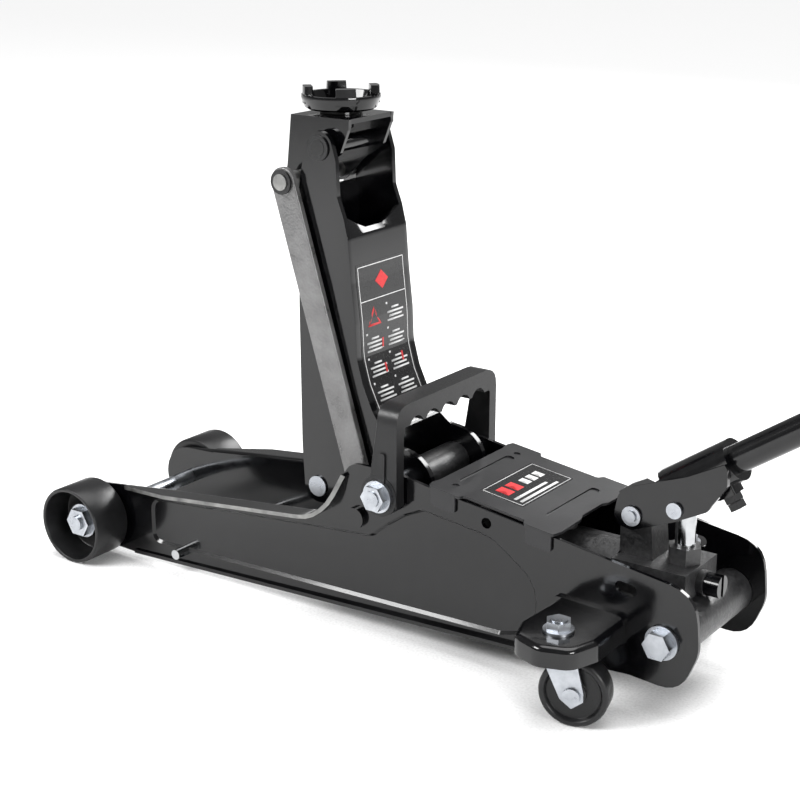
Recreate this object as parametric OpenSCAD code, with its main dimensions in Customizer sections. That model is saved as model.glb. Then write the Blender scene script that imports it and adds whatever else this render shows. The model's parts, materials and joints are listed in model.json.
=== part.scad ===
// Two-plate hydraulic floor jack, lift arm raised, pump handle fitted.
// Origin is under the middle of the jack on the floor. X runs from the front
// wheels to the handle, Y across the frame, Z up. Sizes are millimetres.

/* [Frame] */
// Half distance between the outer faces of the side plates
frame_half = 54; // [48:0.5:60]
// Side plate thickness
plate_t = 3; // [2:0.5:5]
// How far the turned flanges stand out
flange_w = 14; // [8:1:20]
// Radius of the plate nose around the front axle
nose_r = 26; // [20:1:30]
// Front axle distance ahead of the main shaft
axle_ahead = 290; // [270:1:310]
// Rise of the base line per unit of length
base_slope = 0.045; // [0:0.005:0.08]

/* [Rolling gear] */
// Front wheel radius
wheel_r = 31.6; // [26:0.2:36]
// Front wheel width
wheel_w = 35; // [25:1:42]
// Front axle radius
axle_r = 6; // [5:0.5:8]
// Rear caster wheel radius
caster_r = 24; // [20:0.5:28]
// Rear caster wheel width
caster_w = 17; // [12:1:22]
// Trail of the caster wheel behind its stud
caster_trail = 13; // [8:1:16]
// Caster stud position behind the main shaft
caster_x = 166; // [150:1:190]
// Caster stud distance from the middle
caster_y = 93; // [90:1:100]
// Height of the caster bracket top
caster_top = 64; // [58:1:70]
// Swivel angle of the left caster
swivel_left = 15; // [-180:1:180]
// Swivel angle of the right caster
swivel_right = -24; // [-180:1:180]

/* [Lift arm] */
// Main shaft height
shaft_z = 113; // [105:1:120]
// Main shaft radius
shaft_r = 9; // [7:0.5:12]
// Forward reach of the arm head in the raised pose
arm_dx = 73; // [60:1:90]
// Rise of the arm head in the raised pose
arm_dz = 238; // [220:1:250]
// Half width over the arm cheeks
arm_half = 36; // [30:0.5:40]
// Arm sheet thickness
arm_t = 4; // [3:0.5:6]
// Link bar pivot offset ahead of the arm pivots
link_dx = 28; // [20:1:34]
// Link bar pivot offset below the arm pivots
link_dz = 26; // [20:1:34]
// Link bar width
link_w = 21; // [18:1:26]
// Link bar thickness
link_t = 5; // [3:0.5:7]
// Radius of the arm head pin
pin_r = 6; // [5:0.5:8]
// Radius of the ram pin in the arm
ram_pin_r = 8; // [6:0.5:10]

/* [Saddle] */
// Saddle rim radius
saddle_r = 29; // [24:1:34]
// Rim height above the arm head pin
saddle_rise = 34.5; // [30:0.5:40]
// Height of the four saddle lugs
lug_h = 7.5; // [4:0.5:12]
// Saddle post radius
post_r = 9; // [7:0.5:12]

/* [Pump] */
// Height of the ram line
ram_z = 65; // [60:1:75]
// Reservoir radius
tank_r = 31; // [26:1:34]
// Ram rod radius
ram_r = 13; // [9:0.5:16]
// Pump cross tube radius
cross_r = 16; // [12:0.5:20]
// Cross tube position behind the main shaft
cross_x = 222; // [210:1:230]
// Cross tube height
cross_z = 56; // [50:1:65]
// Plunger position behind the main shaft
plunger_x = 209; // [200:1:215]
// Plunger radius
plunger_r = 7; // [5:0.5:9]
// Handle pivot position behind the main shaft
fulcrum_x = 177.5; // [170:0.5:185]
// Handle pivot height
fulcrum_z = 123.5; // [118:0.5:130]

/* [Handle] */
// Handle tube radius
tube_r = 10; // [8:0.5:13]
// Angle of the handle mouth above the floor
mouth_angle = 34; // [20:1:50]
// Angle of the upper handle above the floor
upper_angle = 40; // [35:1:60]
// Length of the upper handle tube
upper_len = 350; // [300:10:600]
// Grip length
grip_len = 118; // [80:1:160]

/* [Top parts] */
// Front edge of the cover behind the main shaft
cover_x0 = 34; // [28:1:45]
// Cover length along the frame
cover_len = 106; // [90:1:120]
// Height of the carry bar above the main shaft
carry_rise = 68; // [60:1:80]
// Carry leg width
carry_w = 19; // [15:1:24]
// Carry leg thickness
carry_t = 9; // [6:0.5:12]

/* [Hidden] */

fit = 0.05;

gap = 0.4;
small_gap = 0.1;
fine = 64;
mid = 40;
hex_sides = 6;
quarter = 90;
grip_r = 14;
in_half = frame_half - plate_t;
nose_x = -axle_ahead;
base_z0 = 4.5;
rust = [0.05, 0.05, 0.06];
satin = [0.12, 0.12, 0.13];
cast = [0.09, 0.09, 0.10];
hammer = [0.34, 0.35, 0.36];
zinc = [0.72, 0.73, 0.75];
nylon = [0.04, 0.04, 0.045];
grip_col = [0.03, 0.03, 0.03];
wall = 3.5;
ring_t = 1.5;
ring_w = 3;
nut_h = 8;
nut_r = 12;
washer_t = 2;
head_x = -arm_dx;
head_z = shaft_z + arm_dz;
low_x = -link_dx;
low_z = shaft_z - link_dz;
link_x = head_x - link_dx;
link_z = head_z - link_dz;
link_len = sqrt(arm_dx * arm_dx + arm_dz * arm_dz);
link_tilt = atan2(arm_dx, arm_dz);
link_y = arm_half + 2.4;
lever_x = -77.7;
lever_z = shaft_z - 17.8;
lever_pad = 13;
boss_r = 27;
wheel_y0 = frame_half + gap;
hub_y1 = frame_half + 22;
wheel_y1 = frame_half + 4 + wheel_w;
rim_z = head_z + saddle_rise;
slot_x = 193.5;
slot_z = 87;
hole_x = 84;
hole_z = 108;
tie_x = -201;
tie_z = 18.5;
tie_r = 4;
cross_len = in_half - gap;
cover_z0 = 125;
cover_fall = 0.135;
cover_tilt = atan(cover_fall);
pin_dx = plunger_x - fulcrum_x;
pin_dz = 10.9;
mouth_x = 232;
mouth_z = 165;
bend_len = 150;
elbow_x = mouth_x + bend_len * cos(mouth_angle);
elbow_z = mouth_z + bend_len * sin(mouth_angle);
tip_x = elbow_x + upper_len * cos(upper_angle);
tip_z = elbow_z + upper_len * sin(upper_angle);
shift_x = -(nose_x - wheel_r + tip_x + grip_r * sin(upper_angle)) / 2;
// Put a piece into the shared frame
module placed() {
    translate([shift_x, 0, 0]) children();
}

// Mirror a piece to the right side
module right_side() {
    mirror([0, 1, 0]) children();
}

// Round bar along Y
module rod_y(x, z, r, y0, y1, sides = mid) {
    translate([x, y0, z]) rotate([-quarter, 0, 0]) cylinder(r = r, h = y1 - y0, $fn = sides);
}

// Round bar along Z
module rod_z(x, y, r, z0, z1, sides = mid) {
    translate([x, y, z0]) cylinder(r = r, h = z1 - z0, $fn = sides);
}

// Round bar along X
module rod_x(y, z, r, x0, x1, sides = mid) {
    translate([x0, y, z]) rotate([0, quarter, 0]) cylinder(r = r, h = x1 - x0, $fn = sides);
}

// Side-view outline given thickness along Y
module slab(y0, y1) {
    translate([0, y1, 0]) rotate([quarter, 0, 0]) linear_extrude(height = y1 - y0) children();
}

// Ring along Y
module ring_y(x, z, r_in, r_out, y0, y1) {
    difference() {
        rod_y(x, z, r_out, y0, y1);
        rod_y(x, z, r_in, y0 - 1, y1 + 1);
    }
}

// Height of the plate base line
function base_z(x) = base_z0 + base_slope * (x + 242);

// Side view of a plate
module plate_outline() {
    polygon([[nose_x, axle_z() - nose_r], [-242, base_z(-242)], [124, base_z(124)], [209, 27],
        [232, 29], [240, 36], [248, 52], [243, 84], [239, 90], [230, 94], [137, 110], [34, 124],
        [8, 128], [-16, 128.5], [-30, 128], [-37, 125], [-47, 112], [-54, 100], [-61, 92], [-70, 84],
        [-81, 81], [-127, 77], [-210, 68], [nose_x, axle_z() + nose_r]]);
    translate([nose_x, axle_z()]) circle(r = nose_r, $fn = fine);
}

function axle_z() = wheel_r;

// Line along which the top flange is turned
module top_flange_outline() {
    polygon([[-264, 61.3], [-210, 68], [-127, 77], [-81, 81], [-70, 84], [-61, 92], [-54, 100],
        [-47, 112], [-37, 125], [-34, 122], [-44, 109], [-51, 97], [-58, 89], [-68, 81], [-80, 78],
        [-127, 74], [-210, 65], [-264, 58.3]]);
}

// Line along which the bottom flange is turned
module low_flange_outline() {
    polygon([[-250, base_z(-250)], [124, base_z(124)], [124, base_z(124) + plate_t],
        [-250, base_z(-250) + plate_t]]);
}

// Plan view that trims the flanges
module flange_plan(z0, z1) {
    translate([0, 0, z0]) linear_extrude(height = z1 - z0)
        polygon([[-264, 1 - in_half], [-264, -frame_half - 2], [-240, -frame_half - flange_w],
            [-80, -frame_half - flange_w], [-52, -frame_half - flange_w + 4], [-30, 1 - in_half]]);
}

// Plan view that trims the base flange
module foot_plan(z0, z1) {
    translate([0, 0, z0]) linear_extrude(height = z1 - z0)
        polygon([[-250, 1 - in_half], [-250, -frame_half - 2], [-238, -frame_half - flange_w],
            [118, -frame_half - flange_w], [124, -frame_half - flange_w + 4], [124, 1 - in_half]]);
}

// Left side plate with its flanges and bores
module side_plate() {
    difference() {
        union() {
            slab(-frame_half, -in_half) plate_outline();
            intersection() {
                slab(-frame_half - flange_w, -in_half) top_flange_outline();
                flange_plan(50, 130);
            }
            intersection() {
                slab(-frame_half - flange_w, -in_half) low_flange_outline();
                foot_plan(0, 40);
            }
        }
        rod_y(nose_x, axle_z(), axle_r + fit, -frame_half - 1, -in_half + 1, fine);
        rod_y(0, shaft_z, shaft_r + fit, -frame_half - 1, -in_half + 1, fine);
        rod_y(low_x, low_z, pin_r + fit, -frame_half - 1, -in_half + 1, fine);
        rod_y(tie_x, tie_z, tie_r + fit, -frame_half - 1, -in_half + 1, fine);
        rod_y(cross_x, cross_z, nut_r / 2 + fit, -frame_half - 1, -in_half + 1, fine);
        rod_y(hole_x, hole_z, tie_r, -frame_half - 1, -in_half + 1, fine);
        rod_y(slot_x - 4, slot_z + 0.5, tie_r, -frame_half - 1, -in_half + 1, fine);
        rod_y(slot_x + 4, slot_z - 0.5, tie_r, -frame_half - 1, -in_half + 1, fine);
        translate([slot_x - 4, -frame_half - 1, slot_z - tie_r]) cube([8, plate_t + 2, 2 * tie_r]);
    }
}

module side_plate_left() {
    color(rust) placed() side_plate();
}

module side_plate_right() {
    color(rust) placed() right_side() side_plate();
}

// Cross tie near the front
module tie_rod() {
    color(zinc) placed() rod_y(tie_x, tie_z, tie_r, -frame_half - 11, frame_half + 11);
}

// Fixed front axle
module front_axle() {
    color(zinc) placed() rod_y(nose_x, axle_z(), axle_r, -hub_y1 - nut_h - 3, hub_y1 + nut_h + 3, fine);
}

// Flanged hex nut outside a hub
module axle_nut() {
    difference() {
        union() {
            rod_y(nose_x, axle_z(), nut_r, -hub_y1 - gap - nut_h, -hub_y1 - gap - washer_t, hex_sides);
            rod_y(nose_x, axle_z(), nut_r + 2, -hub_y1 - gap - washer_t, -hub_y1 - gap);
        }
        rod_y(nose_x, axle_z(), axle_r + fit, -hub_y1 - nut_h - 2, -hub_y1 + 1, fine);
    }
}

module axle_nuts() {
    color(zinc) placed() {
        axle_nut();
        right_side() axle_nut();
    }
}

shaft_y = frame_half + carry_t + 4;

// Main shaft through both plates, the arm and the carry handle
module main_shaft() {
    color(zinc) placed() {
        rod_y(0, shaft_z, shaft_r, -shaft_y + washer_t + gap, shaft_y - washer_t - gap, fine);
        rod_y(0, shaft_z, axle_r, -shaft_y - nut_h, shaft_y + nut_h, fine);
    }
}

// Hex nut and washer on a shaft end
module shaft_nut() {
    difference() {
        union() {
            rod_y(0, shaft_z, nut_r - 2, -shaft_y - nut_h + 1, -shaft_y + washer_t - 1, hex_sides);
            rod_y(0, shaft_z, nut_r, -shaft_y - 1, -shaft_y + washer_t);
        }
        rod_y(0, shaft_z, axle_r + fit, -shaft_y - nut_h - 1, -shaft_y + nut_h, fine);
    }
}

module shaft_nuts() {
    color(zinc) placed() {
        shaft_nut();
        right_side() shaft_nut();
    }
}

// Stub that carries the low end of a link bar
module link_stub() {
    rod_y(low_x, low_z, pin_r, -frame_half - 2.5, -arm_half - 0.6, fine);
    rod_y(low_x, low_z, pin_r + 2.5, -in_half + small_gap, -link_y - link_t - gap);
    rod_y(low_x, low_z, pin_r + 2, -frame_half - 4, -frame_half - small_gap);
}

module link_stubs() {
    color(zinc) placed() {
        link_stub();
        right_side() link_stub();
    }
}

block_x0 = 166;
block_x1 = 222;
valve_z = 80;
valve_r = 6.5;
plug_x = 186;
plug_z = 60;
block_half = 24;
block_z0 = 42;
block_z1 = 92;
lug_half = 12;
sock_in = 14;
sock_t = 4;

// Cast pump block with cross tube and handle lug
module pump_body() {
    color(cast) placed() difference() {
        union() {
            translate([block_x0, -block_half, block_z0])
                cube([block_x1 - block_x0, 2 * block_half, block_z1 - block_z0]);
            rod_y(cross_x, cross_z, cross_r, -cross_len, cross_len, fine);
            slab(-lug_half, lug_half) polygon([[block_x0, block_z1 - 1], [block_x0, fulcrum_z],
                [block_x0 + 1, fulcrum_z + 4], [fulcrum_x, fulcrum_z + 11], [fulcrum_x + 11, fulcrum_z],
                [fulcrum_x + 14, block_z1 - 1]]);
            rod_x(0, valve_z, 9, block_x1 - 1, block_x1 + 5);
        }
        rod_y(cross_x, cross_z, nut_r / 2 + fit, -cross_len - 1, -cross_len + 16, fine);
        rod_y(cross_x, cross_z, nut_r / 2 + fit, cross_len - 16, cross_len + 1, fine);
        rod_y(fulcrum_x, fulcrum_z, tie_r + fit, -lug_half - 1, lug_half + 1, fine);
        rod_z(plunger_x, 0, plunger_r + 1.5, block_z0 + 4, block_z1 + 1, fine);
        rod_x(0, valve_z, valve_r + fit, block_x1 - 20, block_x1 + 6, fine);
        rod_x(0, ram_z, ram_r + 1, block_x0 - 1, block_x0 + 16, fine);
        rod_y(plug_x, plug_z, tie_r + fit, -block_half - 1, -block_half + 12, fine);
    }
}

// Bolt into one end of the cross tube
module cross_bolt() {
    rod_y(cross_x, cross_z, nut_r / 2, -frame_half - 3, -cross_len + 14, fine);
    rod_y(cross_x, cross_z, nut_r - 2, -frame_half - 10, -frame_half - washer_t, hex_sides);
    rod_y(cross_x, cross_z, nut_r, -frame_half - washer_t - small_gap, -frame_half - small_gap);
}

module cross_bolts() {
    color(zinc) placed() {
        cross_bolt();
        right_side() cross_bolt();
    }
}

tank_x0 = 46;

// Oil tank tube around the ram cylinder
module oil_tank() {
    color(cast) placed() difference() {
        rod_x(0, ram_z, tank_r, tank_x0, block_x0 - small_gap, fine);
        rod_x(0, ram_z, tank_r - wall, tank_x0 - 1, block_x0 - wall, fine);
        rod_x(0, ram_z, ram_r + 1, block_x0 - nut_r, block_x0 + 1, fine);
        rod_z(118, 0, 5 + fit, ram_z + ram_r, ram_z + tank_r + 1, fine);
    }
}

// Hex gland that closes the tank at the ram
module tank_head() {
    color(cast) placed() difference() {
        union() {
            rod_x(0, ram_z, tank_r - wall - small_gap, tank_x0 + 1, tank_x0 + 12, fine);
            rod_x(0, ram_z, ram_r + 9, tank_x0 - 7, tank_x0 + 2, hex_sides);
        }
        rod_x(0, ram_z, ram_r + fit, tank_x0 - 8, tank_x0 + 13, fine);
    }
}

// Hex gland around the plunger
module plunger_gland() {
    color(rust) placed() difference() {
        rod_z(plunger_x, 0, nut_r, block_z1 + small_gap, block_z1 + nut_r, hex_sides);
        rod_z(plunger_x, 0, plunger_r + fit, block_z1 - 1, block_z1 + nut_r + 1, fine);
    }
}

pin_y = sock_in + sock_t + 0.6;

// Pin the handle socket turns on
module fulcrum_pin() {
    color(zinc) placed() rod_y(fulcrum_x, fulcrum_z, tie_r, -pin_y - ring_w, pin_y + ring_w, fine);
}

module fulcrum_rings() {
    color(zinc) placed() {
        ring_y(fulcrum_x, fulcrum_z, tie_r + fit, tie_r + ring_w, -pin_y - ring_t, -pin_y);
        ring_y(fulcrum_x, fulcrum_z, tie_r + fit, tie_r + ring_w, pin_y, pin_y + ring_t);
    }
}

// Hex plug over the overload valve
module relief_plug() {
    color(zinc) placed() {
        rod_y(plug_x, plug_z, tie_r, -block_half - 1, -block_half + 10, fine);
        rod_y(plug_x, plug_z, tie_r + 3, -block_half - 5, -block_half - small_gap, hex_sides);
    }
}

// Rubber plug in the oil filler hole
module filler_plug() {
    color(grip_col) placed() {
        rod_z(118, 0, 5, ram_z + tank_r - 4, ram_z + tank_r + 2, fine);
        rod_z(118, 0, 7, ram_z + tank_r + gap, ram_z + tank_r + 3.5);
    }
}

cover_half = frame_half + 0.3;

// Cover over the pump with hooked edges and two ribs
module cover_plate() {
    color(satin) placed() {
        translate([cover_x0, 0, cover_z0]) rotate([0, cover_tilt, 0]) {
            translate([0, -cover_half - washer_t, 0]) cube([cover_len, 2 * cover_half + 2 * washer_t, washer_t]);
            translate([12, -cover_half + 6, washer_t - small_gap])
                cube([carry_t - 4, 2 * cover_half - 12, washer_t]);
            translate([cover_len - 18, -cover_half + 6, washer_t - small_gap])
                cube([carry_t - 4, 2 * cover_half - 12, washer_t]);
            cover_hook(3);
            cover_hook(cover_len - 27);
            mirror([0, 1, 0]) cover_hook(3);
            mirror([0, 1, 0]) cover_hook(cover_len - 27);
            translate([0, -in_half + 2, 1 - nut_h]) cube([washer_t, 2 * in_half - 4, nut_h]);
        }
    }
}

// Hook that grips the top edge of a plate
module cover_hook(x) {
    translate([x, -cover_half - washer_t, -14]) cube([24, washer_t, 15]);
}

brk_w = 29;
brk_t = 3.5;
lip = 7;

// Plan of the caster bracket
module bracket_plan() {
    translate([caster_x, -caster_y]) circle(r = brk_w, $fn = fine);
    translate([caster_x - brk_w, -caster_y]) square([2 * brk_w, caster_y - frame_half - small_gap]);
}

// Plan of the hollow under the caster bracket
module bracket_hollow() {
    translate([caster_x, -caster_y]) circle(r = brk_w - brk_t, $fn = fine);
    translate([caster_x - brk_w + brk_t, -caster_y])
        square([2 * (brk_w - brk_t), caster_y - frame_half + brk_t]);
}

// Pressed bracket that holds the caster stud outside the plate
module caster_bracket() {
    difference() {
        union() {
            translate([0, 0, caster_top - brk_t - lip]) linear_extrude(height = brk_t + lip) bracket_plan();
            translate([caster_x - brk_w, -frame_half - brk_t, caster_top - brk_t - 16])
                cube([2 * brk_w, brk_t - small_gap, 22]);
        }
        translate([0, 0, caster_top - brk_t - lip - 30])
            linear_extrude(height = lip + 30) difference() {
                bracket_hollow();
                translate([caster_x - 2 * brk_w, -frame_half - brk_t]) square([4 * brk_w, 2 * brk_t]);
            }
        rod_z(caster_x, -caster_y, axle_r + fit, caster_top - brk_t - 1, caster_top + 1, fine);
    }
}

module caster_bracket_left() {
    color(rust) placed() caster_bracket();
}

module caster_bracket_right() {
    color(rust) placed() right_side() caster_bracket();
}

fork_z = caster_top - brk_t - gap;
crown_t = 3;
fork_in = caster_w / 2 + 0.8;
fork_t = 2.2;

// Stud with a head under the fork crown
module caster_stud() {
    rod_z(caster_x, -caster_y, axle_r, fork_z - crown_t - 2, caster_top + nut_h + 1, fine);
    rod_z(caster_x, -caster_y, axle_r + 3, fork_z - crown_t - 3, fork_z - crown_t - gap);
}

module caster_studs() {
    color(zinc) placed() {
        caster_stud();
        right_side() caster_stud();
    }
}

// Hex nut with a serrated washer
module caster_nut() {
    difference() {
        union() {
            rod_z(caster_x, -caster_y, nut_r - 3, caster_top + washer_t - small_gap, caster_top + nut_h, hex_sides);
            rod_z(caster_x, -caster_y, nut_r - 1.5, caster_top + small_gap, caster_top + washer_t);
        }
        rod_z(caster_x, -caster_y, axle_r + fit, caster_top - 1, caster_top + nut_h + 2, fine);
    }
}

module caster_nuts() {
    color(zinc) placed() {
        caster_nut();
        right_side() caster_nut();
    }
}

// Cup shaped front wheel
module front_wheel() {
    translate([nose_x, -wheel_y0, axle_z()]) rotate([quarter, 0, 0]) difference() {
        cylinder(r = wheel_r, h = wheel_y1 - wheel_y0, $fn = fine);
        translate([0, 0, 14]) difference() {
            cylinder(r = wheel_r - wall - 0.5, h = wheel_w + 10, $fn = fine);
            translate([0, 0, -1]) cylinder(r = 15, h = hub_y1 - wheel_y0 - 13, $fn = fine);
        }
        translate([0, 0, -1]) difference() {
            cylinder(r = wheel_r - 6, h = 4, $fn = fine);
            translate([0, 0, -1]) cylinder(r = 13, h = 6, $fn = fine);
        }
        translate([0, 0, -1]) cylinder(r = axle_r + fit, h = wheel_w + 10, $fn = fine);
    }
}

module wheel_left() {
    color(nylon) placed() front_wheel();
}

module wheel_right() {
    color(nylon) placed() right_side() front_wheel();
}

// Stand a caster piece at its stud with the trail along its swivel angle
module at_caster(angle) {
    translate([caster_x, -caster_y, 0]) rotate([0, 0, angle]) children();
}

// Side view of a fork leg
module leg_outline() {
    polygon([[-13, fork_z], [13, fork_z], [caster_trail + 8, caster_r + 3], [caster_trail + 8, caster_r - 3],
        [caster_trail, caster_r - 9], [caster_trail - 8, caster_r - 3]]);
}

// Pressed fork
module caster_fork(angle) {
    at_caster(angle) difference() {
        union() {
            slab(-fork_in - fork_t, -fork_in) leg_outline();
            slab(fork_in, fork_in + fork_t) leg_outline();
            translate([-13, -fork_in - fork_t, fork_z - crown_t])
                cube([26, 2 * fork_in + 2 * fork_t, crown_t]);
        }
        rod_z(0, 0, axle_r + fit, fork_z - crown_t - 1, fork_z + 1, fine);
        rod_y(caster_trail, caster_r, tie_r + fit, -fork_in - fork_t - 1, fork_in + fork_t + 1, fine);
    }
}

module caster_fork_left() {
    color(zinc) placed() caster_fork(swivel_left);
}

module caster_fork_right() {
    color(zinc) placed() right_side() caster_fork(-swivel_right);
}

// Rivet the caster wheel turns on
module caster_rivet(angle) {
    at_caster(angle) {
        rod_y(caster_trail, caster_r, tie_r, -fork_in - fork_t - 1, fork_in + fork_t + 1, fine);
        rod_y(caster_trail, caster_r, tie_r + 2, -fork_in - fork_t - 2, -fork_in - fork_t - small_gap);
        rod_y(caster_trail, caster_r, tie_r + 2, fork_in + fork_t + small_gap, fork_in + fork_t + 2);
    }
}

module caster_rivet_left() {
    color(zinc) placed() caster_rivet(swivel_left);
}

module caster_rivet_right() {
    color(zinc) placed() right_side() caster_rivet(-swivel_right);
}

// Small caster wheel with a recessed face
module caster_wheel(angle) {
    at_caster(angle) difference() {
        rod_y(caster_trail, caster_r, caster_r, -caster_w / 2, caster_w / 2, fine);
        ring_y(caster_trail, caster_r, 9, caster_r - 4, -caster_w / 2 - 1, -caster_w / 2 + 3);
        ring_y(caster_trail, caster_r, 9, caster_r - 4, caster_w / 2 - 3, caster_w / 2 + 1);
        rod_y(caster_trail, caster_r, tie_r + fit, -caster_w, caster_w, fine);
    }
}

module caster_wheel_left() {
    color(nylon) placed() caster_wheel(swivel_left);
}

module caster_wheel_right() {
    color(nylon) placed() right_side() caster_wheel(-swivel_right);
}

carry_y0 = frame_half + washer_t;
carry_r = 15;

// Carry handle, a U of plastic folding on the main shaft
module carry_handle() {
    color(nylon) placed() difference() {
        union() {
            carry_leg();
            right_side() carry_leg();
            translate([0, 0, shaft_z + carry_rise]) slab(-carry_y0 - carry_t, carry_y0 + carry_t)
                polygon([[-8, -8], [-8, 5], [-4, 9], [14, 9], [18, 5], [18, -8], [14, -11], [-4, -11]]);
        }
        rod_y(0, shaft_z, shaft_r + fit, -carry_y0 - carry_t - 1, carry_y0 + carry_t + 1, fine);
        translate([-20, -carry_y0, shaft_z - 20]) cube([60, 2 * carry_y0, carry_rise + 5]);
        for (i = [-2 : 2]) {
            translate([-20, i * 21, shaft_z + carry_rise - 16]) rotate([0, quarter, 0])
                cylinder(r = 11, h = 50, $fn = mid);
        }
    }
}

// One leg of the carry handle
module carry_leg() {
    slab(-carry_y0 - carry_t, -carry_y0)
        polygon([[-12, shaft_z - 6], [-10, shaft_z + 24], [-6, shaft_z + carry_rise], [14, shaft_z + carry_rise],
            [12, shaft_z + 24], [13, shaft_z - 6]]);
    rod_y(0, shaft_z, carry_r, -carry_y0 - carry_t, -carry_y0, fine);
}

// Side view of an arm cheek
module cheek_outline() {
    polygon([[head_x + 9, head_z + 8], [-57.2, 344], [-57, 317], [-51.6, 303], [-47.6, 288], [-45, 256],
        [-41.5, 226], [-40.5, 201], [-35, 181], [-27, 164], [-18, 151], [-6, 140], [20, shaft_z + 16],
        [6, shaft_z - 26], [lever_x, lever_z - lever_pad], [lever_x - lever_pad, lever_z],
        [-92.5, 126], [-93, 230], [-92.5, 310], [-90, 330], [-84, 345], [head_x - 9, head_z + 8]]);
    translate([head_x, head_z]) circle(r = 12, $fn = mid);
    translate([0, shaft_z]) circle(r = boss_r, $fn = fine);
    translate([lever_x, lever_z]) circle(r = lever_pad, $fn = mid);
}

// Side view of the bent sheet that joins the cheeks
module web_outline() {
    polygon([[-51.6, 303], [-47.6, 288], [-45, 256], [-41.5, 226], [-40.5, 201], [-35, 181], [-27, 164],
        [-18, 151], [-6, 140], [-8, 136], [-21, 148], [-30, 162], [-38.5, 180], [-44.5, 201],
        [-45.5, 226], [-49, 256], [-51.6, 288], [-55, 302]]);
    translate([-8, 138.5]) circle(r = 3, $fn = mid);
}

// U shaped lift arm
module lift_arm() {
    color(rust) placed() difference() {
        union() {
            slab(-arm_half, arm_t - arm_half) cheek_outline();
            slab(arm_half - arm_t, arm_half) cheek_outline();
            slab(small_gap - arm_half, arm_half - small_gap) web_outline();
        }
        rod_y(0, shaft_z, shaft_r + fit, -arm_half - 1, arm_half + 1, fine);
        rod_y(head_x, head_z, pin_r + fit, -arm_half - 1, arm_half + 1, fine);
        rod_y(lever_x, lever_z, ram_pin_r + fit, -arm_half - 1, arm_half + 1, fine);
        rod_x(0, 303, 17, -70, -30, mid);
    }
}

// Sleeve of the arm on the main shaft
module arm_sleeve() {
    color(rust) placed()
        ring_y(0, shaft_z, shaft_r + fit, shaft_r + 5, arm_t - arm_half + small_gap, arm_half - arm_t - small_gap);
}

// Pin between the cheeks that the ram pushes on
module ram_pin() {
    color(zinc) placed() rod_y(lever_x, lever_z, ram_pin_r, -arm_half - 1.6, arm_half + 1.6, fine);
}

module head_pin() {
    color(zinc) placed() rod_y(head_x, head_z, pin_r, -arm_half - 1.8, arm_half + 1.8, fine);
}

module head_rings() {
    color(zinc) placed() {
        ring_y(head_x, head_z, pin_r + fit, pin_r + ring_w, -arm_half - ring_t, -arm_half - small_gap);
        ring_y(head_x, head_z, pin_r + fit, pin_r + ring_w, arm_half + small_gap, arm_half + ring_t);
    }
}

// Link bar that keeps the saddle level
module link_bar() {
    difference() {
        union() {
            slab(-link_y - link_t, -link_y) translate([low_x, low_z]) rotate([0, 0, link_tilt])
                translate([-link_w / 2, 0]) square([link_w, link_len]);
            rod_y(low_x, low_z, link_w / 2, -link_y - link_t, -link_y, fine);
            rod_y(link_x, link_z, link_w / 2, -link_y - link_t, -link_y, fine);
        }
        rod_y(low_x, low_z, pin_r + fit, -link_y - link_t - 1, -link_y + 1, fine);
        rod_y(link_x, link_z, pin_r + fit, -link_y - link_t - 1, -link_y + 1, fine);
    }
}

module link_left() {
    color(hammer) placed() link_bar();
}

module link_right() {
    color(hammer) placed() right_side() link_bar();
}

link_end = link_y + link_t + ring_w;

module link_pin() {
    color(zinc) placed() rod_y(link_x, link_z, pin_r, -link_end, link_end, fine);
}

module link_rings() {
    color(zinc) placed() {
        ring_y(link_x, link_z, pin_r + fit, pin_r + ring_w, -link_end + 1, -link_y - link_t - small_gap);
        ring_y(link_x, link_z, pin_r + fit, pin_r + ring_w, link_y + link_t + small_gap, link_end - 1);
    }
}

brk_half = 27;
brk_z = head_z + 20.5;

// Side view of a saddle bracket cheek
module saddle_cheek() {
    polygon([[-104, brk_z], [-54, brk_z], [-54, brk_z - 6], [-61, head_z - 6], [head_x, head_z - 13],
        [link_x + 2, link_z - 10], [link_x - 9, link_z + 4], [-106, brk_z - 8]]);
    translate([head_x, head_z]) circle(r = 13, $fn = mid);
    translate([link_x, link_z]) circle(r = 10, $fn = mid);
}

// U shaped bracket under the saddle
module saddle_bracket() {
    color(rust) placed() difference() {
        union() {
            slab(-brk_half, 3 - brk_half) saddle_cheek();
            slab(brk_half - 3, brk_half) saddle_cheek();
            translate([-104, small_gap - brk_half, brk_z - wall]) cube([50, 2 * (brk_half - small_gap), wall]);
        }
        rod_y(head_x, head_z, pin_r + fit, -brk_half - 1, brk_half + 1, fine);
        rod_y(link_x, link_z, pin_r + fit, -brk_half - 1, brk_half + 1, fine);
        rod_z(saddle_x, 0, post_r + fit, brk_z - wall - 1, brk_z + 1, fine);
    }
}

saddle_x = -80;
cup_z = brk_z + gap;

// Turned saddle cup with four lugs
module saddle_cup() {
    color(rust) placed() translate([saddle_x, 0, 0]) {
        rotate_extrude($fn = fine) polygon([[0, brk_z - 11], [post_r, brk_z - 11], [post_r, cup_z],
            [15, cup_z], [15, cup_z + 2.5], [saddle_r - 3.5, cup_z + 3.5], [saddle_r, rim_z - 2], [saddle_r, rim_z],
            [saddle_r - 3.5, rim_z], [saddle_r - 5.5, cup_z + 7], [0, cup_z + 7]]);
        for (i = [0 : 3]) {
            rotate([0, 0, 45 + i * quarter]) translate([saddle_r - 10, -6, cup_z + 6])
                cube([7, 12, rim_z + lug_h - cup_z - 6]);
        }
    }
}

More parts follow.
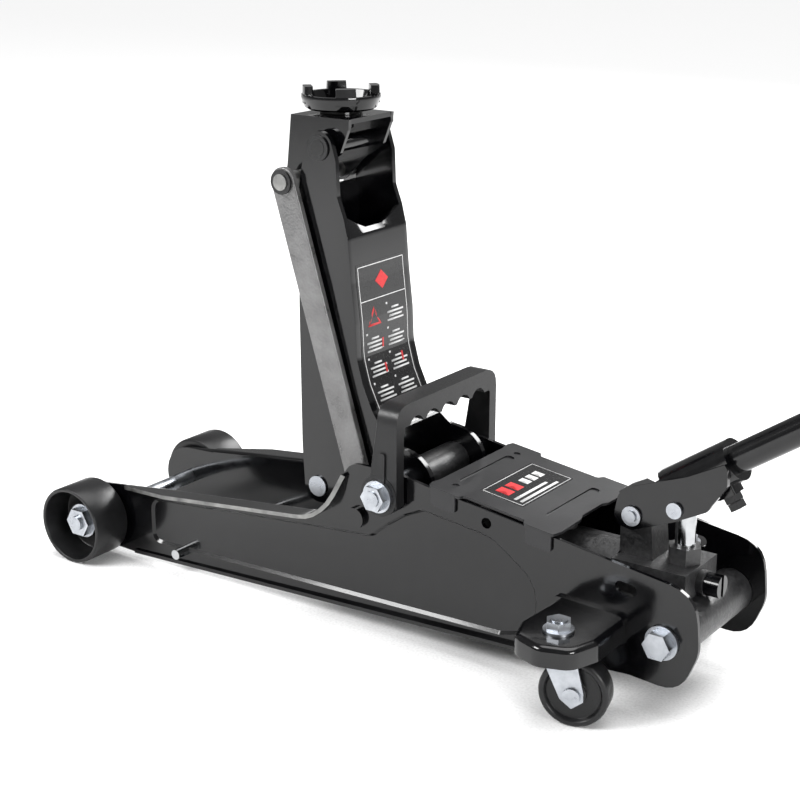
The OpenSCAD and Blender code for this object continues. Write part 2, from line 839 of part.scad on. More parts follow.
// Ring under the bracket that keeps the post in
module saddle_ring() {
    color(zinc) placed() difference() {
        rod_z(saddle_x, 0, post_r + 3, brk_z - wall - 3, brk_z - wall - 1.4, fine);
        rod_z(saddle_x, 0, post_r + fit, brk_z - wall - 4, brk_z - wall, fine);
    }
}

pad_x = lever_x + ram_pin_r + 0.5;
pad_t = 11;

// Ram rod
module ram_rod() {
    color(zinc) placed() rod_x(0, ram_z, ram_r, pad_x + pad_t - 4, 68, fine);
}

// Push pad on the ram rod
module ram_pad() {
    color(cast) placed() difference() {
        union() {
            translate([pad_x, -22, 30]) cube([6, 44, 65]);
            rod_x(0, ram_z, ram_r + 5, pad_x + 5, pad_x + pad_t, fine);
        }
        rod_x(0, ram_z, ram_r + fit, pad_x + pad_t - 4 - small_gap, pad_x + pad_t + 1, fine);
    }
}

// Point on the handle mouth line, counted from the mouth
function mouth_px(d) = mouth_x + d * cos(mouth_angle);
function mouth_pz(d) = mouth_z + d * sin(mouth_angle);

// Bar along the handle mouth line
module mouth_bar(r, d0, d1, sides = fine) {
    translate([mouth_px(d0), 0, mouth_pz(d0)]) rotate([0, quarter - mouth_angle, 0])
        cylinder(r = r, h = d1 - d0, $fn = sides);
}

// Bar along the upper handle line, counted from the elbow
module upper_bar(r, d0, d1, sides = fine) {
    translate([elbow_x + d0 * cos(upper_angle), 0, elbow_z + d0 * sin(upper_angle)])
        rotate([0, quarter - upper_angle, 0]) cylinder(r = r, h = d1 - d0, $fn = sides);
}

slot_angle = atan2(pin_dz, pin_dx);
slot_near = 30.8;
slot_far = 42;
slot_r = 6.4;
slot_y = sock_in + 2.6;

// Side view of a socket cheek
module at_clamp() {
    translate([mouth_px(-3), 0, mouth_pz(-3)]) rotate([0, -mouth_angle, 0]) children();
}

module socket_cheek() {
    polygon([[163.5, 121], [167, 137], [180, 149], [212, 166], [238, 156], [234, 139], [209, 126],
        [178, 113], [168, 114.5]]);
}

// Handle socket that pumps the plunger
module lever_socket() {
    color(rust) placed() difference() {
        union() {
            slab(-sock_in - sock_t, -sock_in) socket_cheek();
            slab(sock_in, sock_in + sock_t) socket_cheek();
            slab(small_gap - sock_in - sock_t, sock_in + sock_t - small_gap)
                polygon([[167, 137], [180, 149], [212, 166], [214, 162.5], [182, 145.5], [170, 135]]);
            mouth_bar(tube_r + 5, -14, 12);
            at_clamp() translate([-7, -7, -20]) cube([14, 14, 12]);
        }
        mouth_bar(tube_r + fit, -12, 13);
        rod_y(fulcrum_x, fulcrum_z, tie_r + fit, -sock_in - sock_t - 1, sock_in + sock_t + 1, fine);
        translate([fulcrum_x, 0, fulcrum_z]) rotate([0, -slot_angle, 0]) {
            rod_y(slot_near, 0, slot_r, -slot_y, slot_y, fine);
            rod_y(slot_far, 0, slot_r, -slot_y, slot_y, fine);
            translate([slot_near, -slot_y, -slot_r]) cube([slot_far - slot_near, 2 * slot_y, 2 * slot_r]);
        }
        at_clamp() rod_z(0, 0, tie_r + fit, -22, 0, fine);
    }
}

// Rivet heads on the outside of the socket cheeks
module lever_rivets() {
    color(zinc) placed() {
        rod_y(plunger_x, plunger_z, tie_r + 1.6, -sock_in - sock_t - 2.2, -sock_in - sock_t - small_gap, fine);
        rod_y(plunger_x, plunger_z, tie_r + 1.6, sock_in + sock_t + small_gap, sock_in + sock_t + 2.2, fine);
    }
}

// Clamp screw under the handle mouth
module clamp_bolt() {
    color(rust) placed() at_clamp() {
        rod_z(0, 0, tie_r, -27, -tube_r - small_gap, fine);
        rod_z(0, 0, tie_r + 2.5, -30, -25, hex_sides);
    }
}

// Lock nut on the clamp screw
module clamp_nut() {
    color(rust) placed() at_clamp() difference() {
        rod_z(0, 0, tie_r + 3, -24.5, -20 - small_gap, hex_sides);
        rod_z(0, 0, tie_r + fit, -26, -19, fine);
    }
}

// Bent lower handle tube
module handle_lower() {
    color(rust) placed() {
        mouth_bar(tube_r, -12 + small_gap, bend_len);
        translate([elbow_x, 0, elbow_z]) sphere(r = tube_r + gap, $fn = fine);
        upper_bar(tube_r, 0, 40);
        upper_bar(tube_r - 2, 39, 75);
    }
}

// Straight upper handle tube
module handle_upper() {
    color(rust) placed() difference() {
        upper_bar(tube_r, 40 + small_gap, upper_len - 3);
        upper_bar(tube_r - 2 + fit, 39, 76);
        upper_bar(tube_r - 2 + fit, 75, upper_len);
    }
}

// Ribbed hand grip
module handle_grip() {
    color(grip_col) placed() difference() {
        union() {
            upper_bar(grip_r - 1.5, upper_len - grip_len, upper_len);
            for (i = [0 : 7]) {
                upper_bar(grip_r, upper_len - grip_len + 6 + i * 14, upper_len - grip_len + 14 + i * 14);
            }
        }
        upper_bar(tube_r + fit, upper_len - grip_len - 1, upper_len - 2.5);
    }
}

plunger_z = fulcrum_z + pin_dz;

module plunger() {
    color(zinc) placed() difference() {
        rod_z(plunger_x, 0, plunger_r, 58, plunger_z + 6.5, fine);
        rod_y(plunger_x, plunger_z, tie_r + fit, -plunger_r - 1, plunger_r + 1, fine);
    }
}

// Cross pin that runs in the blind slots of the socket
module plunger_pin() {
    color(zinc) placed() rod_y(plunger_x, plunger_z, tie_r, -slot_y + gap, slot_y - gap, fine);
}

// Release screw with a notch for the handle end
module release_valve() {
    color(zinc) placed() difference() {
        union() {
            rod_x(0, valve_z, valve_r, block_x1 - 5, block_x1 + 8, fine);
            rod_x(0, valve_z, valve_r + 1.5, block_x1 + 5 + gap, block_x1 + 16, fine);
        }
        translate([block_x1 + 10, -1.8, valve_z - 10]) cube([8, 3.6, 20]);
    }
}

side_plate_left();
side_plate_right();
tie_rod();
front_axle();
axle_nuts();
main_shaft();
shaft_nuts();
link_stubs();
pump_body();
cross_bolts();
oil_tank();
tank_head();
plunger_gland();
fulcrum_pin();
fulcrum_rings();
relief_plug();
filler_plug();
cover_plate();
caster_bracket_left();
caster_bracket_right();
caster_studs();
caster_nuts();
wheel_left();
wheel_right();
caster_fork_left();
caster_fork_right();
caster_rivet_left();
caster_rivet_right();
caster_wheel_left();
caster_wheel_right();
carry_handle();
lift_arm();
arm_sleeve();
ram_pin();
head_pin();
head_rings();
link_left();
link_right();
link_pin();
link_rings();
saddle_bracket();
saddle_cup();
saddle_ring();
ram_rod();
ram_pad();
lever_socket();
lever_rivets();
clamp_bolt();
clamp_nut();
handle_lower();
handle_upper();
handle_grip();
plunger();
plunger_pin();
release_valve();
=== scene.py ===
import json
import math

import bpy
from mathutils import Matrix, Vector


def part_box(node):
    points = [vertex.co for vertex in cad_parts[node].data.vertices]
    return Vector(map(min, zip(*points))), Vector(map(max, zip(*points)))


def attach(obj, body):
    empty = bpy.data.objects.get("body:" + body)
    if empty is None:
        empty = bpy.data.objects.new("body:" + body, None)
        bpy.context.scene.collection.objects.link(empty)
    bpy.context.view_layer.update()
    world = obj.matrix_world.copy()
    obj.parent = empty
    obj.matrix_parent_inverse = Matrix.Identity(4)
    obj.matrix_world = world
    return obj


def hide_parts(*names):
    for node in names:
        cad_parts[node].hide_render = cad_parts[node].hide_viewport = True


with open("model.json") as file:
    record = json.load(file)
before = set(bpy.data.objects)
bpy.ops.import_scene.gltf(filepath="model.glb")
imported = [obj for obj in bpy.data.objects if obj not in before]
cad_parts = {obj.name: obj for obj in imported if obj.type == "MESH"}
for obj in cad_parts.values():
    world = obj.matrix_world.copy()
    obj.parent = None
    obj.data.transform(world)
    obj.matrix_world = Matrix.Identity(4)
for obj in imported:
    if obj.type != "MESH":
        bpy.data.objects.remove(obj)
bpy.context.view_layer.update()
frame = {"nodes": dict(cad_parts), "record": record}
nodes = frame["nodes"]

MM = 0.001
shaft_low, shaft_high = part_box("main_shaft")
SHAFT_X = (shaft_low[0] + shaft_high[0]) / 2

# Side-view places that several pieces share, in millimetres: x from the main shaft's plumb line, z from the
# floor. Holes are a little wider than their pins.
SHAFT = (0, 113)
AXLE = (-290.0, 31.6)
HEAD_PIN = (-73, 351)
LINK_TOP = (-101, 325)
LINK_FOOT = (-28, 87)
RAM_PIN = (-77.7, 95.2)
FULCRUM = (177.5, 123.5)
MOUTH = (232, 165)
CASTER_X, CASTER_Y, CASTER_Z, CASTER_TRAIL = 166, 93, 24, 13
SHAFT_HOLE, PIN_HOLE = 9.1, 6.1


def spot(x, y, z):
    """A point in metres from millimetres counted from the main shaft's plumb line."""
    return (SHAFT_X + x * MM, y * MM, z * MM)


# ---------------------------------------------------------------- finishes


def finish_base(name, color, roughness, metallic=0.0, coat=0.0, coat_roughness=0.1):
    """A new material with its shader set, and the nodes that every finish starts from."""
    made = bpy.data.materials.new(name)
    made.use_nodes = True
    tree = made.node_tree
    shader = tree.nodes["Principled BSDF"]
    shader.inputs["Base Color"].default_value = (*color, 1)
    shader.inputs["Roughness"].default_value = roughness
    shader.inputs["Metallic"].default_value = metallic
    shader.inputs["Coat Weight"].default_value = coat
    shader.inputs["Coat Roughness"].default_value = coat_roughness
    place = tree.nodes.new("ShaderNodeTexCoord")
    return made, tree, shader, place.outputs["Object"]


def noise(tree, place, scale, detail=4.0, roughness=0.55):
    """Cloudy noise at a scale per metre."""
    node = tree.nodes.new("ShaderNodeTexNoise")
    node.inputs["Scale"].default_value = scale
    node.inputs["Detail"].default_value = detail
    node.inputs["Roughness"].default_value = roughness
    tree.links.new(place, node.inputs["Vector"])
    return node.outputs["Fac"]


def spread(tree, value, low, high, to_low, to_high):
    """A value's range from low to high stretched to a new range."""
    node = tree.nodes.new("ShaderNodeMapRange")
    node.inputs["From Min"].default_value = low
    node.inputs["From Max"].default_value = high
    node.inputs["To Min"].default_value = to_low
    node.inputs["To Max"].default_value = to_high
    tree.links.new(value, node.inputs["Value"])
    return node.outputs["Result"]


def two_tone(tree, value, dark, light):
    """A colour between dark and light."""
    node = tree.nodes.new("ShaderNodeMix")
    node.data_type = "RGBA"
    node.inputs["A"].default_value = (*dark, 1)
    node.inputs["B"].default_value = (*light, 1)
    tree.links.new(value, node.inputs["Factor"])
    return node.outputs["Result"]


def tinted(tree, shader, value, low, high, dark, light):
    """Base colour that goes from dark to light as a value climbs from low to high."""
    share = spread(tree, value, low, high, 0, 1)
    tree.links.new(two_tone(tree, share, dark, light), shader.inputs["Base Color"])


def dulled(tree, shader, value, low, high, smooth, rough):
    """Roughness that goes from smooth to rough as a value climbs from low to high."""
    tree.links.new(spread(tree, value, low, high, smooth, rough), shader.inputs["Roughness"])


def relief(tree, shader, height, strength, distance, under=None):
    """A shallow surface relief, over another one if it is given."""
    node = tree.nodes.new("ShaderNodeBump")
    node.inputs["Strength"].default_value = strength
    node.inputs["Distance"].default_value = distance
    tree.links.new(height, node.inputs["Height"])
    if under is not None:
        tree.links.new(under, node.inputs["Normal"])
    tree.links.new(node.outputs["Normal"], shader.inputs["Normal"])
    return node.outputs["Normal"]


def gloss_paint(name, dark, light, rough, peel):
    """Sprayed gloss enamel: slight orange peel, cloudy gloss and a little dust."""
    made, tree, shader, place = finish_base(name, dark, rough, coat=0.2, coat_roughness=0.06)
    shader.inputs["Specular IOR Level"].default_value = 0.34
    cloud = noise(tree, place, 14.0)
    dust = noise(tree, place, 90.0, 6.0)
    both = tree.nodes.new("ShaderNodeMath")
    both.operation = "MULTIPLY"
    tree.links.new(spread(tree, cloud, 0.35, 0.7, 0.0, 1.0), both.inputs[0])
    tree.links.new(spread(tree, dust, 0.45, 0.75, 0.0, 1.0), both.inputs[1])
    tree.links.new(two_tone(tree, both.outputs[0], dark, light), shader.inputs["Base Color"])
    dulled(tree, shader, cloud, 0.3, 0.75, rough * 0.8, rough * 1.5)
    wave = relief(tree, shader, noise(tree, place, 30.0, 1.0), 0.08, 0.0006)
    relief(tree, shader, noise(tree, place, 420.0, 2.0), peel, 0.0002, wave)
    return made


def rough_cast(name, dark, light):
    """Black painted casting with a coarse sand skin."""
    made, tree, shader, place = finish_base(name, dark, 0.42, coat=0.25, coat_roughness=0.3)
    sand = noise(tree, place, 330.0, 6.0, 0.7)
    lumps = noise(tree, place, 95.0, 3.0)
    tinted(tree, shader, sand, 0.4, 0.75, dark, light)
    dulled(tree, shader, sand, 0.3, 0.7, 0.32, 0.6)
    skin = relief(tree, shader, lumps, 0.55, 0.0012)
    relief(tree, shader, sand, 0.6, 0.0005, skin)
    return made


def hammer_paint(name, dark, light):
    """Hammered enamel on the link bars: small dimples with a soft shine."""
    made, tree, shader, place = finish_base(name, dark, 0.3, metallic=0.35, coat=0.4, coat_roughness=0.2)
    cells = tree.nodes.new("ShaderNodeTexVoronoi")
    cells.feature = "SMOOTH_F1"
    cells.inputs["Scale"].default_value = 520.0
    tree.links.new(place, cells.inputs["Vector"])
    cloud = noise(tree, place, 60.0, 5.0)
    tinted(tree, shader, cloud, 0.3, 0.7, dark, light)
    dulled(tree, shader, cloud, 0.3, 0.7, 0.24, 0.42)
    relief(tree, shader, cells.outputs["Distance"], 0.6, 0.0006)
    return made


def zinc_plate(name, dark, light, rough):
    """Bright plated steel with faint tumbling marks."""
    made, tree, shader, place = finish_base(name, light, rough, metallic=1.0)
    cloud = noise(tree, place, 70.0, 5.0)
    marks = noise(tree, place, 720.0, 3.0)
    tinted(tree, shader, cloud, 0.3, 0.7, dark, light)
    dulled(tree, shader, cloud, 0.3, 0.7, rough * 0.8, rough * 1.5)
    relief(tree, shader, marks, 0.12, 0.0002)
    return made


def moulded_plastic(name, dark, light, rough=0.36, grain=700.0):
    """Moulded black plastic with a fine spark grain."""
    made, tree, shader, place = finish_base(name, dark, rough)
    shader.inputs["Specular IOR Level"].default_value = 0.32
    cloud = noise(tree, place, 25.0, 3.0)
    grains = noise(tree, place, grain, 3.0, 0.7)
    tinted(tree, shader, cloud, 0.3, 0.7, dark, light)
    dulled(tree, shader, grains, 0.3, 0.7, rough * 0.85, rough * 1.25)
    relief(tree, shader, grains, 0.25, 0.00025)
    return made


def print_ink(name, color, rough=0.4):
    """Printed film colour with a slight speckle."""
    made, tree, shader, place = finish_base(name, color, rough)
    speck = noise(tree, place, 500.0, 3.0)
    weak = tuple(share * 0.86 for share in color)
    tinted(tree, shader, speck, 0.4, 0.7, color, weak)
    dulled(tree, shader, speck, 0.3, 0.7, rough * 0.9, rough * 1.15)
    return made


BLACK = gloss_paint("Black Enamel", (0.0012, 0.0012, 0.0016), (0.005, 0.005, 0.0056), rough=0.13, peel=0.07)
SADDLE_BLACK = gloss_paint("Saddle Enamel", (0.001, 0.001, 0.0013), (0.006, 0.006, 0.0064), rough=0.11,
                           peel=0.06)
COVER_GREY = gloss_paint("Cover Satin", (0.007, 0.007, 0.008), (0.013, 0.013, 0.014), rough=0.36, peel=0.18)
DULL = gloss_paint("Dull Black", (0.0025, 0.0025, 0.003), (0.010, 0.010, 0.011), rough=0.42, peel=0.2)
CAST = rough_cast("Cast Skin", (0.004, 0.004, 0.0045), (0.02, 0.02, 0.021))
HAMMER = hammer_paint("Hammered Grey", (0.075, 0.074, 0.074), (0.14, 0.139, 0.139))
ZINC = zinc_plate("Zinc Plate", (0.27, 0.285, 0.31), (0.50, 0.52, 0.55), rough=0.27)
STEEL = zinc_plate("Ground Steel", (0.34, 0.35, 0.36), (0.52, 0.53, 0.54), rough=0.14)
RAW = zinc_plate("Cut Edge", (0.10, 0.10, 0.10), (0.34, 0.34, 0.33), rough=0.4)
PLASTIC = moulded_plastic("Moulded Black", (0.004, 0.004, 0.0044), (0.009, 0.009, 0.0095))
WHEEL_BLACK = moulded_plastic("Wheel Nylon", (0.004, 0.004, 0.0044), (0.009, 0.009, 0.0095), rough=0.32)
RUBBER = moulded_plastic("Grip Rubber", (0.014, 0.014, 0.014), (0.024, 0.024, 0.024), rough=0.6,
                         grain=480.0)
FILM = print_ink("Label Film", (0.006, 0.006, 0.0066), rough=0.25)
WHITE_INK = print_ink("White Print", (0.62, 0.62, 0.62))
RED_INK = print_ink("Red Print", (0.55, 0.012, 0.016))
FLOOR = print_ink("Studio Paper", (0.86, 0.86, 0.86), rough=0.85)


# ---------------------------------------------------------------- shaping tools


def bare():
    """Object mode with nothing selected."""
    if bpy.context.object is not None and bpy.context.object.mode != "OBJECT":
        bpy.ops.object.mode_set(mode="OBJECT")
    bpy.ops.object.select_all(action="DESELECT")


def pick(piece):
    """Object mode with one piece selected and active."""
    bare()
    piece.select_set(True)
    bpy.context.view_layer.objects.active = piece


def edit_all(piece):
    """Edit mode on a piece with all of it selected."""
    pick(piece)
    bpy.ops.object.mode_set(mode="EDIT")
    bpy.ops.mesh.select_all(action="SELECT")


def pick_faces(piece, wanted):
    """Edit mode on a piece with only the faces selected that wanted(centre, normal) keeps."""
    pick(piece)
    bpy.ops.object.mode_set(mode="EDIT")
    bpy.ops.mesh.select_mode(type="FACE")
    bpy.ops.mesh.select_all(action="DESELECT")
    bpy.ops.object.mode_set(mode="OBJECT")
    for face in piece.data.polygons:
        face.select = bool(wanted(face.center / MM, face.normal))
    bpy.ops.object.mode_set(mode="EDIT")


def pick_edges(piece, wanted):
    """Edit mode on a piece with only the edges selected that wanted(end_a, end_b) keeps."""
    pick(piece)
    bpy.ops.object.mode_set(mode="EDIT")
    bpy.ops.mesh.select_mode(type="EDGE")
    bpy.ops.mesh.select_all(action="DESELECT")
    bpy.ops.object.mode_set(mode="OBJECT")
    points = piece.data.vertices
    for edge in piece.data.edges:
        edge.select = bool(wanted(points[edge.vertices[0]].co / MM, points[edge.vertices[1]].co / MM))
    bpy.ops.object.mode_set(mode="EDIT")


def outward(piece):
    """Merge doubles and turn every face outwards."""
    edit_all(piece)
    bpy.ops.mesh.remove_doubles(threshold=0.00001)
    bpy.ops.mesh.normals_make_consistent(inside=False)
    bpy.ops.object.mode_set(mode="OBJECT")
    middle = sum((v.co for v in piece.data.vertices), Vector()) / len(piece.data.vertices)
    if sum((f.center - middle).dot(f.normal) * f.area for f in piece.data.polygons) < 0:
        edit_all(piece)
        bpy.ops.mesh.flip_normals()
        bpy.ops.object.mode_set(mode="OBJECT")


def flat_loop(name, points, fill="NGON"):
    """A loop through points in metres, filled or open."""
    bare()
    bpy.ops.mesh.primitive_circle_add(vertices=len(points), radius=0.05, fill_type=fill)
    piece = bpy.context.object
    piece.name = name
    for vertex, point in zip(piece.data.vertices, points):
        vertex.co = point
    return piece


def cut_blank(name, points, push):
    """A sheet blank: an outline of points in metres, pushed out by a vector."""
    piece = flat_loop(name, points)
    edit_all(piece)
    bpy.ops.mesh.extrude_region_move(TRANSFORM_OT_translate={"value": push})
    bpy.ops.object.mode_set(mode="OBJECT")
    outward(piece)
    return piece


def side_blank(name, outline, y0, y1):
    """A blank cut to a side view, from y0 to y1 in millimetres."""
    return cut_blank(name, [spot(x, y0, z) for x, z in outline], (0, (y1 - y0) * MM, 0))


def plan_blank(name, outline, z0, z1):
    """A blank cut to a plan view, from z0 to z1 in millimetres."""
    return cut_blank(name, [spot(x, y, z0) for x, y in outline], (0, 0, (z1 - z0) * MM))


def front_blank(name, outline, x0, x1):
    """A blank cut to a front view of y and z, from x0 to x1 in millimetres."""
    return cut_blank(name, [spot(x0, y, z) for y, z in outline], ((x1 - x0) * MM, 0, 0))


def filleted(corners, steps=5, closed=True):
    """An outline with its corners rounded: each corner is a point and a radius."""
    made = []
    count = len(corners)
    for i, (x, z, radius) in enumerate(corners):
        if not closed and i in (0, count - 1):
            made.append((x, z))
            continue
        px, pz = corners[i - 1][:2]
        nx, nz = corners[(i + 1) % count][:2]
        ax, az = px - x, pz - z
        bx, bz = nx - x, nz - z
        la, lb = math.hypot(ax, az), math.hypot(bx, bz)
        ax, az, bx, bz = ax / la, az / la, bx / lb, bz / lb
        turn = math.acos(max(-1.0, min(1.0, ax * bx + az * bz)))
        if radius <= 0 or turn > math.pi - 0.02:
            made.append((x, z))
            continue
        back = min(radius / math.tan(turn / 2), la * 0.48, lb * 0.48)
        for k in range(steps + 1):
            t = k / steps
            u, v, w = (1 - t) ** 2, 2 * t * (1 - t), t * t
            made.append((x + back * (ax * u + bx * w), z + back * (az * u + bz * w)))
    return made


def arc(cx, cz, radius, start, end, steps):
    """Points on a circle from one angle to another, in degrees."""
    return [
        (cx + radius * math.cos(math.radians(start + (end - start) * k / steps)),
         cz + radius * math.sin(math.radians(start + (end - start) * k / steps)))
        for k in range(steps + 1)
    ]


def ring(centre, radius):
    """A round outline of 48 points."""
    return arc(*centre, radius, 0, 352.5, 47)


def turned(name, profile, centre, axis, steps=64):
    """A turned piece: a closed profile of (radius, along) in millimetres spun about an axis."""
    along = "xyz".index(axis)
    across = 0 if axis == "z" else 2
    places = []
    for radius, reach in profile:
        place = list(centre)
        place[along] += reach * MM
        place[across] += radius * MM
        places.append(place)
    turn = [0, 0, 0]
    turn[along] = 1
    piece = flat_loop(name, places, "NOTHING")
    edit_all(piece)
    bpy.ops.mesh.spin(steps=steps, angle=math.tau, center=centre, axis=turn)
    bpy.ops.object.mode_set(mode="OBJECT")
    outward(piece)
    return piece


def mirrored(name, piece):
    """A copy of a piece on the other side of the middle plane."""
    pick(piece)
    bpy.ops.object.duplicate()
    other = bpy.context.object
    other.name = name
    for vertex in other.data.vertices:
        vertex.co.y = -vertex.co.y
    edit_all(other)
    bpy.ops.mesh.flip_normals()
    bpy.ops.object.mode_set(mode="OBJECT")
    return other


def joined(name, *parts):
    """Several parts made one piece."""
    bare()
    for part in parts:
        part.select_set(True)
    bpy.context.view_layer.objects.active = parts[0]
    bpy.ops.object.join()
    parts[0].name = name
    return parts[0]


def carved(piece, tool, how="DIFFERENCE"):
    """Cut a tool shape out of a piece, or weld it on, and remove the tool."""
    pick(piece)
    cut = piece.modifiers.new("Cut", "BOOLEAN")
    cut.operation = how
    cut.solver = "EXACT"
    cut.object = tool
    bpy.ops.object.modifier_apply(modifier=cut.name)
    bpy.data.objects.remove(tool, do_unlink=True)
    return piece


def drilled(piece, holes, y0, y1):
    """Round holes across a piece from y0 to y1: each is a side-view place and a radius."""
    for place, radius in holes:
        carved(piece, side_blank("hole_tool", ring(place, radius), y0, y1))
    return piece


def softened(piece, width, segments, angle):
    """A bevel on the edges that are sharper than an angle, left live."""
    ease = piece.modifiers.new("Ease", "BEVEL")
    ease.width = width * MM
    ease.segments = segments
    ease.limit_method = "ANGLE"
    ease.angle_limit = math.radians(angle)
    ease.harden_normals = True
    return ease


def eased(piece, width, segments, angle):
    """Break the sharp edges of a piece and shade it smooth."""
    pick(piece)
    bpy.ops.object.shade_smooth_by_angle(angle=math.radians(angle))
    ease = softened(piece, width, segments, angle)
    bpy.ops.object.modifier_apply(modifier=ease.name)
    return piece


def fitted(piece, body, finish, stands_for=()):
    """Give a piece its finish, its body and the CAD nodes that it stands for."""
    piece.data.materials.clear()
    piece.data.materials.append(finish)
    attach(piece, body)
    if stands_for:
        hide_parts(*stands_for)
    return piece


# ---------------------------------------------------------------- side plates

HALF = 54.0
SHEET = 3.0
NOSE_R = 26.0
FLANGE = 14.0
TOP_START, TOP_END, TOP_FLOOR = -262, -37, 58
BASE_START, BASE_END = -252, 123


def base_line(x):
    """Height of the plate's lower edge."""
    return 4.5 + 0.045 * (x + 242)


def side_view(point):
    """x and z of a point that is in millimetres, with x from the shaft's plumb line."""
    return point.x - SHAFT_X / MM, point.z


def on_top_edge(x, z):
    return TOP_START < x < TOP_END and z > TOP_FLOOR


def plate_edge():
    """Side view of a frame plate with softened corners."""
    nose = arc(*AXLE, NOSE_R, 95, 265, 16)
    rest = filleted([
        (-255, base_line(-255) + 0.4, 0), (124, base_line(124), 8), (198, 25.8, 20), (236, 23, 26),
        (248.5, 54, 30), (244.5, 95, 30), (137, 110, 4), (34, 124, 8),
        (8, 128.2, 10), (-35, 128.4, 16), (-54, 85, 34), (-127, 77, 30), (-210, 68, 30), (-262, 61.5, 4),
    ], closed=False)
    return nose + rest


def side_plate(name):
    """A pressed frame plate: turned-out flanges, a pressed panel and its holes."""
    plate = side_blank(name, plate_edge(), -HALF, -HALF + SHEET)
    pick_faces(plate, lambda c, n: n.y < -0.9)
    bpy.ops.mesh.inset(thickness=SHEET * MM, depth=0)
    bpy.ops.object.mode_set(mode="OBJECT")

    def on_rim(c, n):
        if not (n.y < -0.9 and c.y < -HALF + 0.1):
            return False
        x, z = side_view(c)
        low = abs(z - base_line(x) - SHEET / 2) < 1.2 and BASE_START < x < BASE_END
        return low or on_top_edge(x, z)

    pick_faces(plate, on_rim)
    bpy.ops.mesh.extrude_region_move(TRANSFORM_OT_translate={"value": (0, -FLANGE * MM, 0)})
    bpy.ops.object.mode_set(mode="OBJECT")
    for vertex in plate.data.vertices:
        if vertex.co.y < -(HALF + 10) * MM:
            x, z = vertex.co.x / MM - SHAFT_X / MM, vertex.co.z / MM
            if z > 50:
                ends = 3 + 0.9 * max(0, x - TOP_START), 1.5 + 0.55 * max(0, -34 - x)
            else:
                ends = 2 + max(0, x - BASE_START), 2 + 2 * max(0, 125 - x)
            vertex.co.y = -(HALF + min(FLANGE, *ends)) * MM

    def on_bend(a, b):
        if max(abs(a.y + HALF - SHEET), abs(b.y + HALF - SHEET)) > 0.05:
            return False
        x, z = (a.x + b.x) / 2 - SHAFT_X / MM, (a.z + b.z) / 2
        if abs(a.x - b.x) < 0.01 and abs(a.z - b.z) < 0.01:
            return False
        return on_top_edge(x, z) or (BASE_START < x < BASE_END and z < base_line(x) + 1)

    pick_edges(plate, on_bend)
    bpy.ops.mesh.bevel(offset=2.4 * MM, segments=4, affect="EDGES")
    bpy.ops.object.mode_set(mode="OBJECT")
    panel = filleted([
        (-236, 18, 10), (-236, 56, 12), (-66, 72, 30), (-16, 76, 14), (-2, 88, 12), (14, 99, 10),
        (30, 106.5, 12), (88, 99.5, 36), (128, 72, 34), (124, 34, 30), (96, 26.5, 10),
    ])
    tool = side_blank("panel_tool", panel, -HALF - 2, -HALF - 0.2)
    pick_faces(tool, lambda c, n: n.y > 0.9)
    bpy.ops.mesh.inset(thickness=2.4 * MM, depth=0)
    bpy.ops.transform.translate(value=(0, 2.2 * MM, 0))
    bpy.ops.object.mode_set(mode="OBJECT")
    carved(plate, tool)
    outside, inside = -HALF - 3, -HALF + SHEET + 2
    open_hole, cross_bolt, tie_rod = (84, 108), (222, 56), (-201, 18.5)
    drilled(plate, ((open_hole, 4), (AXLE, PIN_HOLE), (SHAFT, SHAFT_HOLE), (cross_bolt, PIN_HOLE),
                    (LINK_FOOT, PIN_HOLE), (tie_rod, 4.1)), outside, inside)
    slot_hole = arc(197.5, 86.5, 4, -97, 83, 12) + arc(189.5, 87.5, 4, 83, 263, 12)
    carved(plate, side_blank("slot_tool", slot_hole, outside, inside))
    eased(plate, 0.7, 2, 34)
    plate.data.materials.clear()
    plate.data.materials.append(BLACK)
    plate.data.materials.append(RAW)  # the sheared edges of the flanges
    for face in plate.data.polygons:
        face.material_index = int(face.normal.y < -0.7 and face.center.y < -(HALF + 5) * MM)
    return plate


def keep_finishes(piece, body, slot_name, *stands_for):
    """Give a piece that has its finishes its body and its CAD nodes; slot_name is not used."""
    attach(piece, body)
    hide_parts(*stands_for)


left_plate = side_plate("plate_left")
right_plate = mirrored("plate_right", left_plate)
keep_finishes(left_plate, "frame", "black_paint", "side_plate_left")
keep_finishes(right_plate, "frame", "black_paint", "side_plate_right")


# ---------------------------------------------------------------- lift arm

ARM_HALF = 36.0
ARM_SHEET = 4.0
WEB_FOOT, WEB_TOP = (-4, 140.5), (-47.6, 288)
WEB_CORNERS = [(-18, 151, 16), (-27, 164, 20), (-35, 181, 20), (-40.5, 201, 30), (-41.5, 226, 20),
               (-45, 256, 30)]


def web_points():
    """The outside of the arm's web, as close points from its foot up."""
    close = filleted([(*WEB_FOOT, 0), *WEB_CORNERS, (*WEB_TOP, 0)], 6, closed=False)
    return sorted(close, key=lambda p: p[1])


WEB = web_points()
WEB_RUN = [0.0]
for (xa, za), (xb, zb) in zip(WEB, WEB[1:]):
    WEB_RUN.append(WEB_RUN[-1] + math.hypot(xb - xa, zb - za))


def rear_at(z):
    """How far back the arm's web stands at a height."""
    for (xa, za), (xb, zb) in zip(WEB, WEB[1:]):
        if za <= z <= zb:
            return xa + (xb - xa) * (z - za) / (zb - za)
    return WEB[-1][0] if z > WEB[-1][1] else WEB[0][0]


